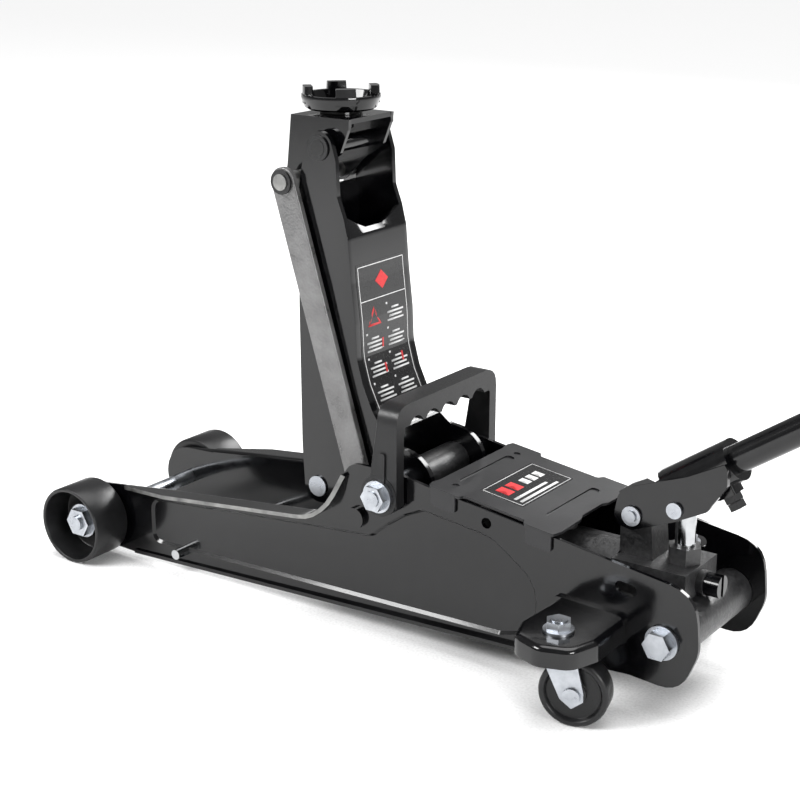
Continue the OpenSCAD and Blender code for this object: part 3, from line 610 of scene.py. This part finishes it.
def cheek_edge():
    """Side view of the arm."""
    head = arc(*HEAD_PIN, 12, 150, 25, 10)
    rear = filleted([(-58, 343, 5), (-57, 317, 10), (-51.6, 303, 10), (*WEB_TOP, 20),
                     *reversed(WEB_CORNERS), (*WEB_FOOT, 6)], closed=False)
    boss = arc(*SHAFT, 27, 84, -80, 16)
    foot = arc(*RAM_PIN, 13, -93, -185, 12)
    front = filleted([(-92.5, 126, 30), (-93, 230, 30), (-92.5, 310, 12), (-90, 331, 8)],
                     closed=False)
    return head + rear + boss + foot + front


def lift_arm():
    """The pressed arm: one cheek with half of the web, mirrored, then braced and drilled."""
    arm = side_blank("arm_shell", cheek_edge(), -ARM_HALF, -ARM_HALF + ARM_SHEET)
    pick_faces(arm, lambda c, n: n.y > 0.9)
    bpy.ops.mesh.inset(thickness=ARM_SHEET * MM, depth=0)
    bpy.ops.object.mode_set(mode="OBJECT")

    def on_web(c, n):
        x, z = side_view(c)
        if not (n.y > 0.9 and c.y > -ARM_HALF + ARM_SHEET - 0.1 and 145 < z < 297):
            return False
        return abs(x - rear_at(z) + 2) < 2.4

    pick_faces(arm, on_web)
    for reach in (4.0, 8.0, 10.0, 10.0):
        bpy.ops.mesh.extrude_region_move(TRANSFORM_OT_translate={"value": (0, reach * MM, 0)})
    bpy.ops.mesh.delete(type="FACE")
    bpy.ops.object.mode_set(mode="OBJECT")
    inner = max(v.co.z for v in arm.data.vertices if v.co.y > -5 * MM)
    for vertex in arm.data.vertices:
        y = vertex.co.y / MM
        if y > -ARM_HALF + ARM_SHEET + 1 and vertex.co.z > inner - 8 * MM:
            vertex.co.z -= 10 * MM * min(1.0, (y + ARM_HALF - ARM_SHEET) / 20)

    def on_bend(a, b):
        if max(abs(a.y + ARM_HALF), abs(b.y + ARM_HALF)) > 0.05:
            return False
        x, z = (a.x + b.x) / 2 - SHAFT_X / MM, (a.z + b.z) / 2
        return x > -60 and 146 < z < 290

    pick_edges(arm, on_bend)
    bpy.ops.mesh.bevel(offset=2.2 * MM, segments=4, affect="EDGES", clamp_overlap=True)
    bpy.ops.object.mode_set(mode="OBJECT")
    pick(arm)
    twin = arm.modifiers.new("Twin", "MIRROR")
    twin.use_axis = (False, True, False)
    twin.use_clip = True
    twin.merge_threshold = 0.0001
    bpy.ops.object.modifier_apply(modifier=twin.name)
    outward(arm)
    brace = side_blank("brace", [(-91.8, 152), (-88.4, 152), (-88.4, 258), (-54, 284), (-55.5, 287),
                                 (-88.4, 263), (-88.4, 318), (-91.8, 318)], -ARM_HALF + 2.7, ARM_HALF - 2.7)
    carved(arm, brace, "UNION")
    holes = ((SHAFT, SHAFT_HOLE), (HEAD_PIN, PIN_HOLE), (RAM_PIN, 8.1))
    drilled(arm, holes, -ARM_HALF - 3, ARM_HALF + 3)
    return eased(arm, 0.8, 3, 32)


fitted(lift_arm(), "arm", BLACK, ["lift_arm"])


# ---------------------------------------------------------------- saddle


SADDLE_X = -80


def saddle_cup():
    """A turned dish with four lugs on its rim."""
    profile = [
        (0.01, 360.5), (8.2, 360.5), (9.0, 361.3), (9.0, 371.9), (15.5, 371.9), (15.5, 374.2),
        (24.0, 374.6), (26.5, 376.2), (28.6, 381.8), (29.0, 383.6), (28.6, 385.2), (27.4, 385.5),
        (25.4, 385.2), (24.6, 383.4), (23.2, 379.6), (21.5, 378.9), (12.0, 378.9), (0.01, 378.9),
    ]
    cup = turned("saddle_dish", profile, spot(SADDLE_X, 0, 0), "z", 72)
    outline = filleted([(20.6, -7.4, 1.5), (27.4, -8.2, 2), (28.2, 0, 8), (27.4, 8.2, 2),
                        (20.6, 7.4, 1.5)], 3)
    for k in range(4):
        turn = math.radians(45 + 90 * k)
        spun = [(SADDLE_X + a * math.cos(turn) - b * math.sin(turn),
                 a * math.sin(turn) + b * math.cos(turn)) for a, b in outline]
        lug = plan_blank("lug", spun, 379.2, 391.2)
        pick_faces(lug, lambda c, n: n.z > 0.9)
        bpy.ops.transform.resize(value=(0.9, 0.9, 1))
        bpy.ops.object.mode_set(mode="OBJECT")
        carved(cup, lug, "UNION")
    return eased(cup, 0.6, 3, 30)


fitted(saddle_cup(), "saddle", SADDLE_BLACK, ["saddle_cup"])


def saddle_bracket():
    """Two side ears under a folded top."""
    side = filleted([
        (-105, 371.4, 0), (-52.5, 371.4, 0), (-53.5, 364, 4), (-61, 346, 8), (-74, 338.2, 8),
        (-99, 315, 8), (-111.5, 323, 8), (-109, 335, 8),
    ])
    bracket = side_blank("bracket_left", side, -27, -24)
    other = mirrored("bracket_right", bracket)
    top = front_blank("bracket_top", filleted([
        (-27, 364, 0), (-27, 371.5, 4.5), (27, 371.5, 4.5), (27, 364, 0), (24, 364, 0),
        (24, 368, 1.5), (-24, 368, 1.5), (-24, 364, 0)]), -104.5, -53)
    bracket = carved(carved(bracket, other, "UNION"), top, "UNION")
    bracket.name = "saddle_yoke"
    drilled(bracket, ((HEAD_PIN, PIN_HOLE), (LINK_TOP, PIN_HOLE)), -30, 30)
    return eased(bracket, 0.7, 3, 32)


fitted(saddle_bracket(), "saddle_mount", BLACK, ["saddle_bracket"])


# ---------------------------------------------------------------- wheels


def front_wheel(name):
    """A wide roller with a hollow rim on its outer side."""
    profile = [
        (6.1, -78.5), (6.1, -54.6), (12, -54.6), (12, -58.2), (26, -58.2), (28.5, -57.6), (31.1, -58.6),
        (31.6, -60.0), (31.6, -91.4), (31.2, -92.6), (30.0, -93.0), (28.6, -92.6), (28.1, -91.4),
        (27.6, -71), (26.6, -68.6), (24, -67.6), (17, -67.4), (14.8, -68.6), (14.2, -71), (14.0, -74.5),
        (13.0, -75.6), (8, -75.7),
    ]
    return eased(turned(name, profile, spot(AXLE[0], 0, AXLE[1]), "y", 72), 0.35, 2, 40)


left_wheel = front_wheel("roller_left")
right_wheel = mirrored("roller_right", left_wheel)
fitted(left_wheel, "front_wheel_left", WHEEL_BLACK, ["wheel_left"])
fitted(right_wheel, "front_wheel_right", WHEEL_BLACK, ["wheel_right"])


# ---------------------------------------------------------------- handle


def swept_tube(name, points, radius):
    """A bent tube along points, made a mesh."""
    bare()
    path = bpy.data.curves.new(name, "CURVE")
    path.dimensions = "3D"
    path.resolution_u = 16
    path.bevel_depth = radius * MM
    path.bevel_resolution = 12
    path.use_fill_caps = True
    line = path.splines.new("BEZIER")
    line.bezier_points.add(len(points) - 1)
    for knot, point in zip(line.bezier_points, points):
        knot.co = point
        knot.handle_left_type = knot.handle_right_type = "AUTO"
    piece = bpy.data.objects.new(name, path)
    bpy.context.collection.objects.link(piece)
    pick(piece)
    bpy.ops.object.convert(target="MESH")
    piece = bpy.context.object
    outward(piece)
    bpy.ops.object.shade_smooth_by_angle(angle=math.radians(40))
    return piece


MOUTH_TILT = math.radians(34)
UPPER_TILT = math.radians(40)
TUBE_R = 10


def on_line(start, tilt, d, up=0.0):
    """Side-view place at d along a line that climbs from start by tilt, and up off it."""
    return (start[0] + d * math.cos(tilt) - up * math.sin(tilt),
            start[1] + d * math.sin(tilt) + up * math.cos(tilt))


ELBOW = on_line(MOUTH, MOUTH_TILT, 150)
lower_run = [on_line(MOUTH, MOUTH_TILT, d) for d in (-11, 40, 100, 135)]
lower_run += [on_line(ELBOW, UPPER_TILT, d) for d in (15, 38)]
lower_tube = swept_tube("handle_bend", [spot(x, 0, z) for x, z in lower_run], TUBE_R)
fitted(lower_tube, "pump_lever", BLACK, ["handle_lower"])


# ---------------------------------------------------------------- carry handle


def carry_handle():
    """A moulded bail with finger notches, and a ribbed boss at each foot."""
    outline = filleted([(-56, 106, 0), (-65, 106, 0), (-65, 181, 15), (65, 181, 15), (65, 106, 0),
                        (56, 106, 0), (56, 164.5, 7), (51, 164.5, 0)], closed=False)
    for k in (2, 1, 0, -1, -2):
        outline += arc(20 * k, 160.5, 9.2, 25, 155, 8)
    outline += filleted([(-51, 164.5, 0), (-56, 164.5, 7), (-56, 110, 0)], closed=False)
    bail = front_blank("carry_bail", outline, -5, 12)
    for vertex in bail.data.vertices:
        x, z = vertex.co.x / MM - SHAFT_X / MM, vertex.co.z / MM
        foot = max(0.0, min(1.0, (166 - z) / 55))
        foot = foot * foot * (3 - 2 * foot)
        lean = 3.5 * (1 - foot)
        vertex.co.x = (SHAFT_X / MM + lean + x * (1 + 0.55 * foot) - 3.2 * foot) * MM
    for side in (-1, 1):
        y0, y1 = sorted((side * 56, side * 65.4))
        carved(bail, side_blank("foot_boss", ring(SHAFT, 15.4), y0, y1), "UNION")
        ribs = sorted((side * 60, side * 66.4))
        rib = filleted([(-3.5, 122, 0), (5.5, 122, 0), (6, 146, 2.5), (0.5, 146, 2.5)])
        carved(bail, side_blank("foot_rib", rib, *ribs), "UNION")
        drilled(bail, ((SHAFT, SHAFT_HOLE),), y0 - 3, y1 + 3)
    return eased(bail, 1.6, 4, 34)


fitted(carry_handle(), "carry", PLASTIC, ["carry_handle"])


# ---------------------------------------------------------------- cover

COVER_X, COVER_Z, COVER_FALL = 34.0, 125.0, 0.135


def cover_plate():
    """A sheet with four tabs, a front lip, two grooves and two dimples, laid along the plates' fall."""
    plan = filleted([
        (35.5, -50, 3), (37, -56, 2), (62, -56, 2), (64, -51, 3), (113, -51, 3), (115, -56, 2),
        (138, -56, 2), (140, -48, 5), (139.5, -20, 10), (137, -14, 6), (137, 14, 6), (139.5, 20, 10),
        (140, 48, 5), (138, 56, 2), (115, 56, 2), (113, 51, 3), (64, 51, 3), (62, 56, 2), (37, 56, 2),
        (35.5, 50, 3), (38.5, 30, 20), (38.5, -30, 20),
    ])
    cover = plan_blank("cover_sheet", plan, COVER_Z, COVER_Z + 2)
    for side in (-1, 1):
        for x0 in (38.5, 116.5):
            y0, y1 = sorted((side * 54.4, side * 56.2))
            tab = side_blank("tab", filleted([(x0, 126.4, 0), (x0 + 20.5, 126.4, 0), (x0 + 20.5, 113, 3),
                                              (x0, 113, 3)]), y0, y1)
            carved(cover, tab, "UNION")
    lip = filleted([(-49, 119, 3), (-49, 126.6, 0), (49, 126.6, 0), (49, 119, 3)])
    carved(cover, front_blank("lip", lip, 36.4, 38.4), "UNION")
    for x in (50, 122):
        groove = plan_blank("groove", arc(x, 30, 3.6, 0, 180, 8) + arc(x, -30, 3.6, 180, 360, 8),
                            COVER_Z + 0.9, COVER_Z + 4)
        carved(cover, groove)
    for y in (-41, 41):
        dimple = plan_blank("dimple", arc(50, y, 2.6, 0, 345, 23), COVER_Z + 1, COVER_Z + 4)
        carved(cover, dimple)
    eased(cover, 0.7, 3, 32)
    for vertex in cover.data.vertices:
        x = (vertex.co.x - SHAFT_X) / MM - COVER_X
        vertex.co.z -= COVER_FALL * x * MM
    return cover


fitted(cover_plate(), "frame", COVER_GREY, ["cover_plate"])


# ---------------------------------------------------------------- labels


TILE = 0.12
PRINT = 0.14
ARM_PRINT = 0.2


def tile(name, outline, height, at):
    """A thin printed patch at a height; at(u, v, h) gives a place on the label."""
    piece = flat_loop(name, [at(u, v, height) for u, v in outline])
    edit_all(piece)
    bpy.ops.mesh.extrude_region_move()
    bpy.ops.object.mode_set(mode="OBJECT")
    raised = [vertex for vertex in piece.data.vertices if vertex.select]
    for vertex, (u, v) in zip(raised, outline):
        vertex.co = at(u, v, height + TILE)
    outward(piece)
    return piece


def bar(name, u0, v0, u1, v1, height, at):
    """A printed rectangle."""
    return tile(name, [(u0, v0), (u1, v0), (u1, v1), (u0, v1)], height, at)


def frame_strip(name, u0, v0, u1, v1, line, height, at):
    """A printed rectangle outline."""
    bars = [
        (u0, v0, u1, v0 + line), (u0, v1 - line, u1, v1),
        (u0, v0 + line, u0 + line, v1 - line), (u1 - line, v0 + line, u1, v1 - line),
    ]
    return joined(name, *[bar(name, *corners, height, at) for corners in bars])


def on_cover(u, v, h):
    """Label place: u across the cover, v back along it, h off its face."""
    x, y = 66 + v, u
    return spot(x, y, COVER_Z + 2 + h - COVER_FALL * (x - COVER_X))


def cover_label():
    """A framed film with plain bars where words stand."""
    edge = filleted([(-35, 0, 1.5), (35, 0, 1.5), (35, 36, 1.5), (-35, 36, 1.5)])
    film = tile("cover_film", edge, 0.02, on_cover)
    white = [frame_strip("cover_print", -33.6, 1.4, 33.6, 34.6, 0.5, PRINT, on_cover)]
    for v, stop in ((24.5, 14), (29.5, 21)):
        white.append(bar("bar", -29, v, stop, v + 2.2, PRINT, on_cover))
    red = [bar("dash", u, 8, u + 9, 19, PRINT, on_cover) for u in (-27, -15)]
    white += [bar("dash", u, 10, u + 6.5, 18, PRINT, on_cover) for u in (0, 9, 18)]
    fitted(film, "frame", FILM)
    fitted(joined("cover_print", *white), "frame", WHITE_INK)
    fitted(joined("cover_mark", *red), "frame", RED_INK)


cover_label()


# ---------------------------------------------------------------- casters


def caster_bracket(name):
    """A rounded bowl over the caster, on a wing that lies against the plate."""
    plan = filleted([(139, -54.2, 0), (136.6, -92, 12), (144, -114, 14), (CASTER_X, -121.8, 14),
                     (188, -114, 14), (195.4, -92, 12), (195, -54.2, 0)], 6)
    bowl = plan_blank(name, plan, 49.5, 64)
    pick_edges(bowl, lambda a, b: min(a.z, b.z) > 63.9 and min(a.y, b.y) < -55)
    bpy.ops.mesh.bevel(offset=4.4 * MM, segments=6, affect="EDGES")
    bpy.ops.object.mode_set(mode="OBJECT")
    outward(bowl)
    hollow = filleted([(142, -40, 0), (139.8, -92, 11), (146.4, -111.8, 12), (CASTER_X, -118.6, 12),
                       (185.6, -111.8, 12), (192.2, -92, 11), (192, -40, 0)], 6)
    carved(bowl, plan_blank("hole_tool", hollow, 40, 60.5))
    wing = filleted([(140, 46, 4), (140, 70, 5), (194.4, 68, 6), (194.6, 45, 4)])
    carved(bowl, side_blank("wing", wing, -57.4, -54), "UNION")
    carved(bowl, plan_blank("hole_tool", ring((CASTER_X, -CASTER_Y), PIN_HOLE), 50, 70))
    return eased(bowl, 0.6, 3, 34)


left_bowl = caster_bracket("bracket_left")
right_bowl = mirrored("bracket_right", left_bowl)
fitted(left_bowl, "frame", BLACK, ["caster_bracket_left"])
fitted(right_bowl, "frame", BLACK, ["caster_bracket_right"])


def caster_wheel(name, side, swivel):
    """A caster wheel that trails its stud, turned about the stud by a swivel angle."""
    profile = [
        (4.2, -8.5), (8.2, -8.5), (9.0, -7.9), (9.2, -5.8), (18.5, -5.6), (19.4, -7.6), (20.2, -8.5),
        (22.4, -8.5), (23.6, -7.6), (24, -6.2), (24, 6.2), (23.6, 7.6), (22.4, 8.5), (20.2, 8.5),
        (19.4, 7.6), (18.5, 5.6), (9.2, 5.8), (9.0, 7.9), (8.2, 8.5), (4.2, 8.5),
    ]
    stud_y = side * CASTER_Y
    tyre = turned(name, profile, spot(CASTER_X + CASTER_TRAIL, stud_y, CASTER_Z), "y", 64)
    angle = math.radians(swivel)
    for vertex in tyre.data.vertices:
        x = vertex.co.x - SHAFT_X - CASTER_X * MM
        y = vertex.co.y - stud_y * MM
        vertex.co.x = SHAFT_X + CASTER_X * MM + x * math.cos(angle) - y * math.sin(angle)
        vertex.co.y = stud_y * MM + x * math.sin(angle) + y * math.cos(angle)
    return eased(tyre, 0.25, 2, 40)


fitted(caster_wheel("caster_tyre_left", -1, 15), "rear_wheel_left", WHEEL_BLACK,
       ["caster_wheel_left"])
fitted(caster_wheel("caster_tyre_right", 1, -24), "rear_wheel_right", WHEEL_BLACK,
       ["caster_wheel_right"])


# ---------------------------------------------------------------- arm label


def on_web_at(u, v, h):
    """Label place: u across the arm, v up along the web from its foot, h off its face."""
    for k in range(1, len(WEB)):
        if WEB_RUN[k] >= v or k == len(WEB) - 1:
            t = (v - WEB_RUN[k - 1]) / (WEB_RUN[k] - WEB_RUN[k - 1])
            (xa, za), (xb, zb) = WEB[k - 1], WEB[k]
            size = math.hypot(xb - xa, zb - za)
            nx, nz = (zb - za) / size, -(xb - xa) / size
            return spot(xa + (xb - xa) * t + nx * h, u, za + (zb - za) * t + nz * h)
    return None


def band(name, u0, u1, v0, v1, height, pieces=28):
    """A printed band that follows the curve of the web."""
    steps = [v0 + (v1 - v0) * k / pieces for k in range(pieces + 1)]
    strip = [(v, height) for v in steps] + [(v, height + PRINT) for v in reversed(steps)]
    return cut_blank(name, [on_web_at(u0, v, h) for v, h in strip], (0, (u1 - u0) * MM, 0))


def instruction_block(u, v):
    """Four short bars and a tick where a numbered picture stands."""
    block = []
    for rise, wide in ((0, 20), (3, 16), (6, 20), (9, 9)):
        inset = (20 - wide) / 2
        block.append(bar("bar", u + inset, v + rise, u + 20 - inset, v + rise + 1.3, ARM_PRINT, on_web_at))
    block.append(bar("tick", u - 1, v + 13, u + 1, v + 14.4, ARM_PRINT, on_web_at))
    return block


def arm_label():
    """A framed film on the web with plain marks where signs and pictures stand."""
    low, high, line = 12.0, 140.0, 0.6
    film = band("arm_film", -30, 30, low, high, 0.05)
    rules = [(-28, -28 + line, low + 2, high - 2), (28 - line, 28, low + 2, high - 2)]
    rules += [(-28, 28, v, v + line) for v in (low + 2, high - 2 - line, 112, 31)]
    white = [band("line", *rule, ARM_PRINT, 20) for rule in rules]
    for row in range(4):
        for u in (-23, 3):
            if (row, u) != (3, -23):
                white += instruction_block(u, 37 + row * 18.5)
    white.append(bar("bar", -20, 18, 20, 21.5, ARM_PRINT, on_web_at))
    red = [tile("mark", [(0, 118), (8, 125), (0, 132), (-8, 125)], ARM_PRINT, on_web_at)]
    outer, inner = [(-21, 93), (-5, 93), (-13, 107)], [(-18.4, 94.6), (-7.6, 94.6), (-13, 104)]
    for k in range(3):
        after = (k + 1) % 3
        red.append(tile("mark", [outer[k], outer[after], inner[after], inner[k]], ARM_PRINT, on_web_at))
    red += [bar("mark", u, v, u + 2, v + 7, 0.36, on_web_at) for u, v in ((-5, 75), (16, 60), (-6, 56))]
    fitted(film, "arm", FILM)
    fitted(joined("arm_print", *white), "arm", WHITE_INK)
    fitted(joined("arm_mark", *red), "arm", RED_INK)


arm_label()


# ---------------------------------------------------------------- link bars


def link_bar(name):
    """A flat bar with round ends about its two pins."""
    lean = math.atan2(LINK_TOP[1] - LINK_FOOT[1], LINK_TOP[0] - LINK_FOOT[0])
    turn = math.degrees(lean) - 90
    outline = arc(*LINK_FOOT, 10.5, turn - 180, turn, 18) + arc(*LINK_TOP, 10.5, turn, turn + 180, 18)
    strap = side_blank(name, outline, -43.4, -38.4)
    drilled(strap, ((LINK_FOOT, PIN_HOLE), (LINK_TOP, PIN_HOLE)), -46, -36)
    return eased(strap, 0.9, 4, 34)


left_bar = link_bar("bar_left")
right_bar = mirrored("bar_right", left_bar)
fitted(left_bar, "links", HAMMER, ["link_left"])
fitted(right_bar, "links", HAMMER, ["link_right"])


# ---------------------------------------------------------------- handle socket

CHEEK_OUT, CHEEK_IN = 18.0, 14.0
BARREL_R, BARREL_BORE = 15.0, 10.1


def leaned(piece, start, tilt, origin_x=0.0):
    """Turn a piece that is made level about origin_x up by tilt, with its origin at start."""
    for vertex in piece.data.vertices:
        a, b = vertex.co.x - origin_x, vertex.co.z
        vertex.co.x = SHAFT_X + start[0] * MM + a * math.cos(tilt) - b * math.sin(tilt)
        vertex.co.z = start[1] * MM + a * math.sin(tilt) + b * math.cos(tilt)
    return piece


def turned_along(name, profile, start, tilt):
    """A turned piece on a line that climbs by tilt from start: profile of (radius, along)."""
    return leaned(turned(name, profile, (0, 0, 0), "x", 48), start, tilt)


def lever_socket():
    """Two cheeks and a roof on a barrel, with a clamp box, the inside cut out and the mouth bored."""
    def along(d, up, radius):
        return (*on_line(MOUTH, MOUTH_TILT, d, up), radius)

    crest = filleted([(163.5, 121, 0), (166.2, 136.4, 4), (177, 144.5, 6), along(-16, 4, 8),
                      along(13, 1, 0)], closed=False)
    keel = filleted([along(13, -3, 0), along(7, -13, 6), along(-10, -20, 6), (232, 138, 6),
                     (209, 126, 6), (178, 113, 8), (168, 114.5, 5), (163.5, 121, 0)], closed=False)
    cheek = side_blank("socket_shell", crest + keel[:-1], -CHEEK_OUT, -CHEEK_IN)
    other = mirrored("cheek_right", cheek)
    barrel = turned_along("barrel", [(0.01, -55), (9, -55), (13.8, -47), (BARREL_R, -40),
                                     (BARREL_R, 13.2), (0.01, 13.2)], MOUTH, MOUTH_TILT)
    spine = [(167.5, 135.5), (178, 142.6), along(-40, 10, 0)[:2], along(-44, 14.4, 0)[:2],
             (176.4, 146.4), (166.6, 138.6)]
    roof = side_blank("roof", spine, -CHEEK_OUT + 0.4, CHEEK_OUT - 0.4)
    socket = carved(carved(carved(barrel, cheek, "UNION"), other, "UNION"), roof, "UNION")
    socket.name = "socket_shell"
    box = plan_blank("clamp_box", filleted([(-10, -7, 2), (4, -7, 2), (4, 7, 2), (-10, 7, 2)]), -20, -9)
    carved(socket, leaned(box, MOUTH, MOUTH_TILT, SHAFT_X), "UNION")
    inner = filleted([(160, 100, 0), (160, 133, 4), (200, 152, 8), along(-14, -14.3, 0),
                      along(-14, -40, 0)], closed=False)
    carved(socket, side_blank("hole_tool", inner, -CHEEK_IN + 0.45, CHEEK_IN - 0.45))
    drilled(socket, ((FULCRUM, 4.15),), -20, 20)
    mouth = [(0.01, -12.6), (BARREL_BORE, -12.6), (BARREL_BORE, 20), (0.01, 20)]
    carved(socket, turned_along("hole_tool", mouth, MOUTH, MOUTH_TILT))
    return eased(socket, 0.5, 2, 34)


fitted(lever_socket(), "pump_lever", BLACK, ["lever_socket"])


# ---------------------------------------------------------------- upper handle and grip


def handle_upper():
    """A plain tube above the elbow."""
    wall = [(8.1, 40.3), (TUBE_R, 40.3), (TUBE_R, 347), (8.1, 347)]
    return eased(turned_along("handle_tube", wall, ELBOW, UPPER_TILT), 0.4, 2, 40)


def handle_grip():
    """A ribbed sleeve with a collar and a closed end."""
    rings = [(10.1, 232.0), (12.4, 232.0), (13.4, 233.4), (13.4, 236.4)]
    for k in range(9):
        rib = 237.6 + k * 12
        rings += [(12.5, rib), (12.7, rib + 0.9), (13.9, rib + 1.8), (13.9, rib + 10.2), (12.7, rib + 11.1)]
    rings += [(12.6, 346.6), (13.6, 347.2), (13.2, 349.2), (11.6, 350.0), (0.01, 350.0), (0.01, 347.6),
              (10.1, 347.6)]
    return eased(turned_along("grip_sleeve", rings, ELBOW, UPPER_TILT), 0.3, 2, 40)


fitted(handle_upper(), "pump_lever", BLACK, ["handle_upper"])
fitted(handle_grip(), "pump_lever", RUBBER, ["handle_grip"])


# ---------------------------------------------------------------- carried over pieces

FINISHES = {
    "black_paint": BLACK, "saddle_black": SADDLE_BLACK, "satin_cover": COVER_GREY, "cast_black": CAST,
    "hammered_grey": HAMMER, "zinc": ZINC, "polished_steel": STEEL, "black_plastic": PLASTIC,
    "black_rubber": RUBBER,
}
OWN_FINISH = {
    "arm_sleeve": CAST, "tank_head": CAST, "ram_pad": CAST, "clamp_bolt": DULL, "clamp_nut": DULL,
    "head_rings": DULL, "link_pin": RAW, "link_rings": DULL, "tie_rod": STEEL, "plunger": STEEL,
}
slots = {row["node"]: row["material_slot"] for row in frame["record"]["subparts"]}
for node_name, node in nodes.items():
    node.data.materials.clear()
    node.data.materials.append(OWN_FINISH.get(node_name, FINISHES[slots[node_name]]))
    softened(node, 0.6, 2, 35)


# ---------------------------------------------------------------- studio


# Each lamp: name, place, aim, width and power; places in metres from the middle of the floor.
LAMPS = (
    ("Key", (-1.3, -1.6, 1.5), (0, 0, 0.15), 1.2, 60),
    ("Side", (2.2, -0.9, 0.9), (0.1, 0, 0.1), 1.0, 42),
    ("Back", (0.2, 2.2, 1.5), (0, 0, 0.2), 1.6, 70),
)


def added(name, data):
    """A new object in the scene for a light or a camera."""
    holder = bpy.data.objects.new(name, data)
    bpy.context.collection.objects.link(holder)
    return holder


def aimed(holder, ahead):
    holder.rotation_mode = "QUATERNION"
    holder.rotation_quaternion = ahead.to_track_quat("-Z", "Y")


def studio():
    """A plain pale floor, a soft white world, three large lamps and a wide light from above."""
    bare()
    bpy.ops.mesh.primitive_plane_add(size=60, location=(0, 0, 0))
    floor = bpy.context.object
    floor.name = "studio_floor"
    floor.data.materials.append(FLOOR)
    world = bpy.data.worlds.new("Studio")
    bpy.context.scene.world = world
    world.use_nodes = True
    sky = world.node_tree.nodes["Background"]
    sky.inputs["Color"].default_value = (1, 1, 1, 1)
    sky.inputs["Strength"].default_value = 0.3
    for name, place, aim, size, power in LAMPS:
        lamp = bpy.data.lights.new(name, "AREA")
        lamp.shape = "RECTANGLE"
        lamp.size = size
        lamp.size_y = size * 0.6
        lamp.energy = power
        holder = added(name, lamp)
        holder.location = place
        aimed(holder, Vector(aim) - Vector(place))
    sun = bpy.data.lights.new("Overhead", "SUN")
    sun.energy = 2.7
    sun.angle = math.radians(55)
    holder = added("Overhead", sun)
    holder.location = (0.2, 0.3, 3)
    holder.rotation_euler = (math.radians(-8), math.radians(6), 0)


def main_camera():
    """A long lens from the handle's end, turned and dipped in degrees."""
    lens = bpy.data.cameras.new("Main")
    lens.lens = 76.5
    lens.sensor_width = 36
    lens.clip_start, lens.clip_end = 0.05, 50
    camera = added("Main", lens)
    camera.location = spot(671.3, -980.5, 544.9)
    turn, dip = math.radians(35.49), math.radians(17.6)
    ahead = Vector((-math.sin(turn) * math.cos(dip), math.cos(turn) * math.cos(dip), -math.sin(dip)))
    aimed(camera, ahead)
    bpy.context.scene.camera = camera
    bpy.context.scene.view_settings.view_transform = "Standard"


studio()
main_camera()
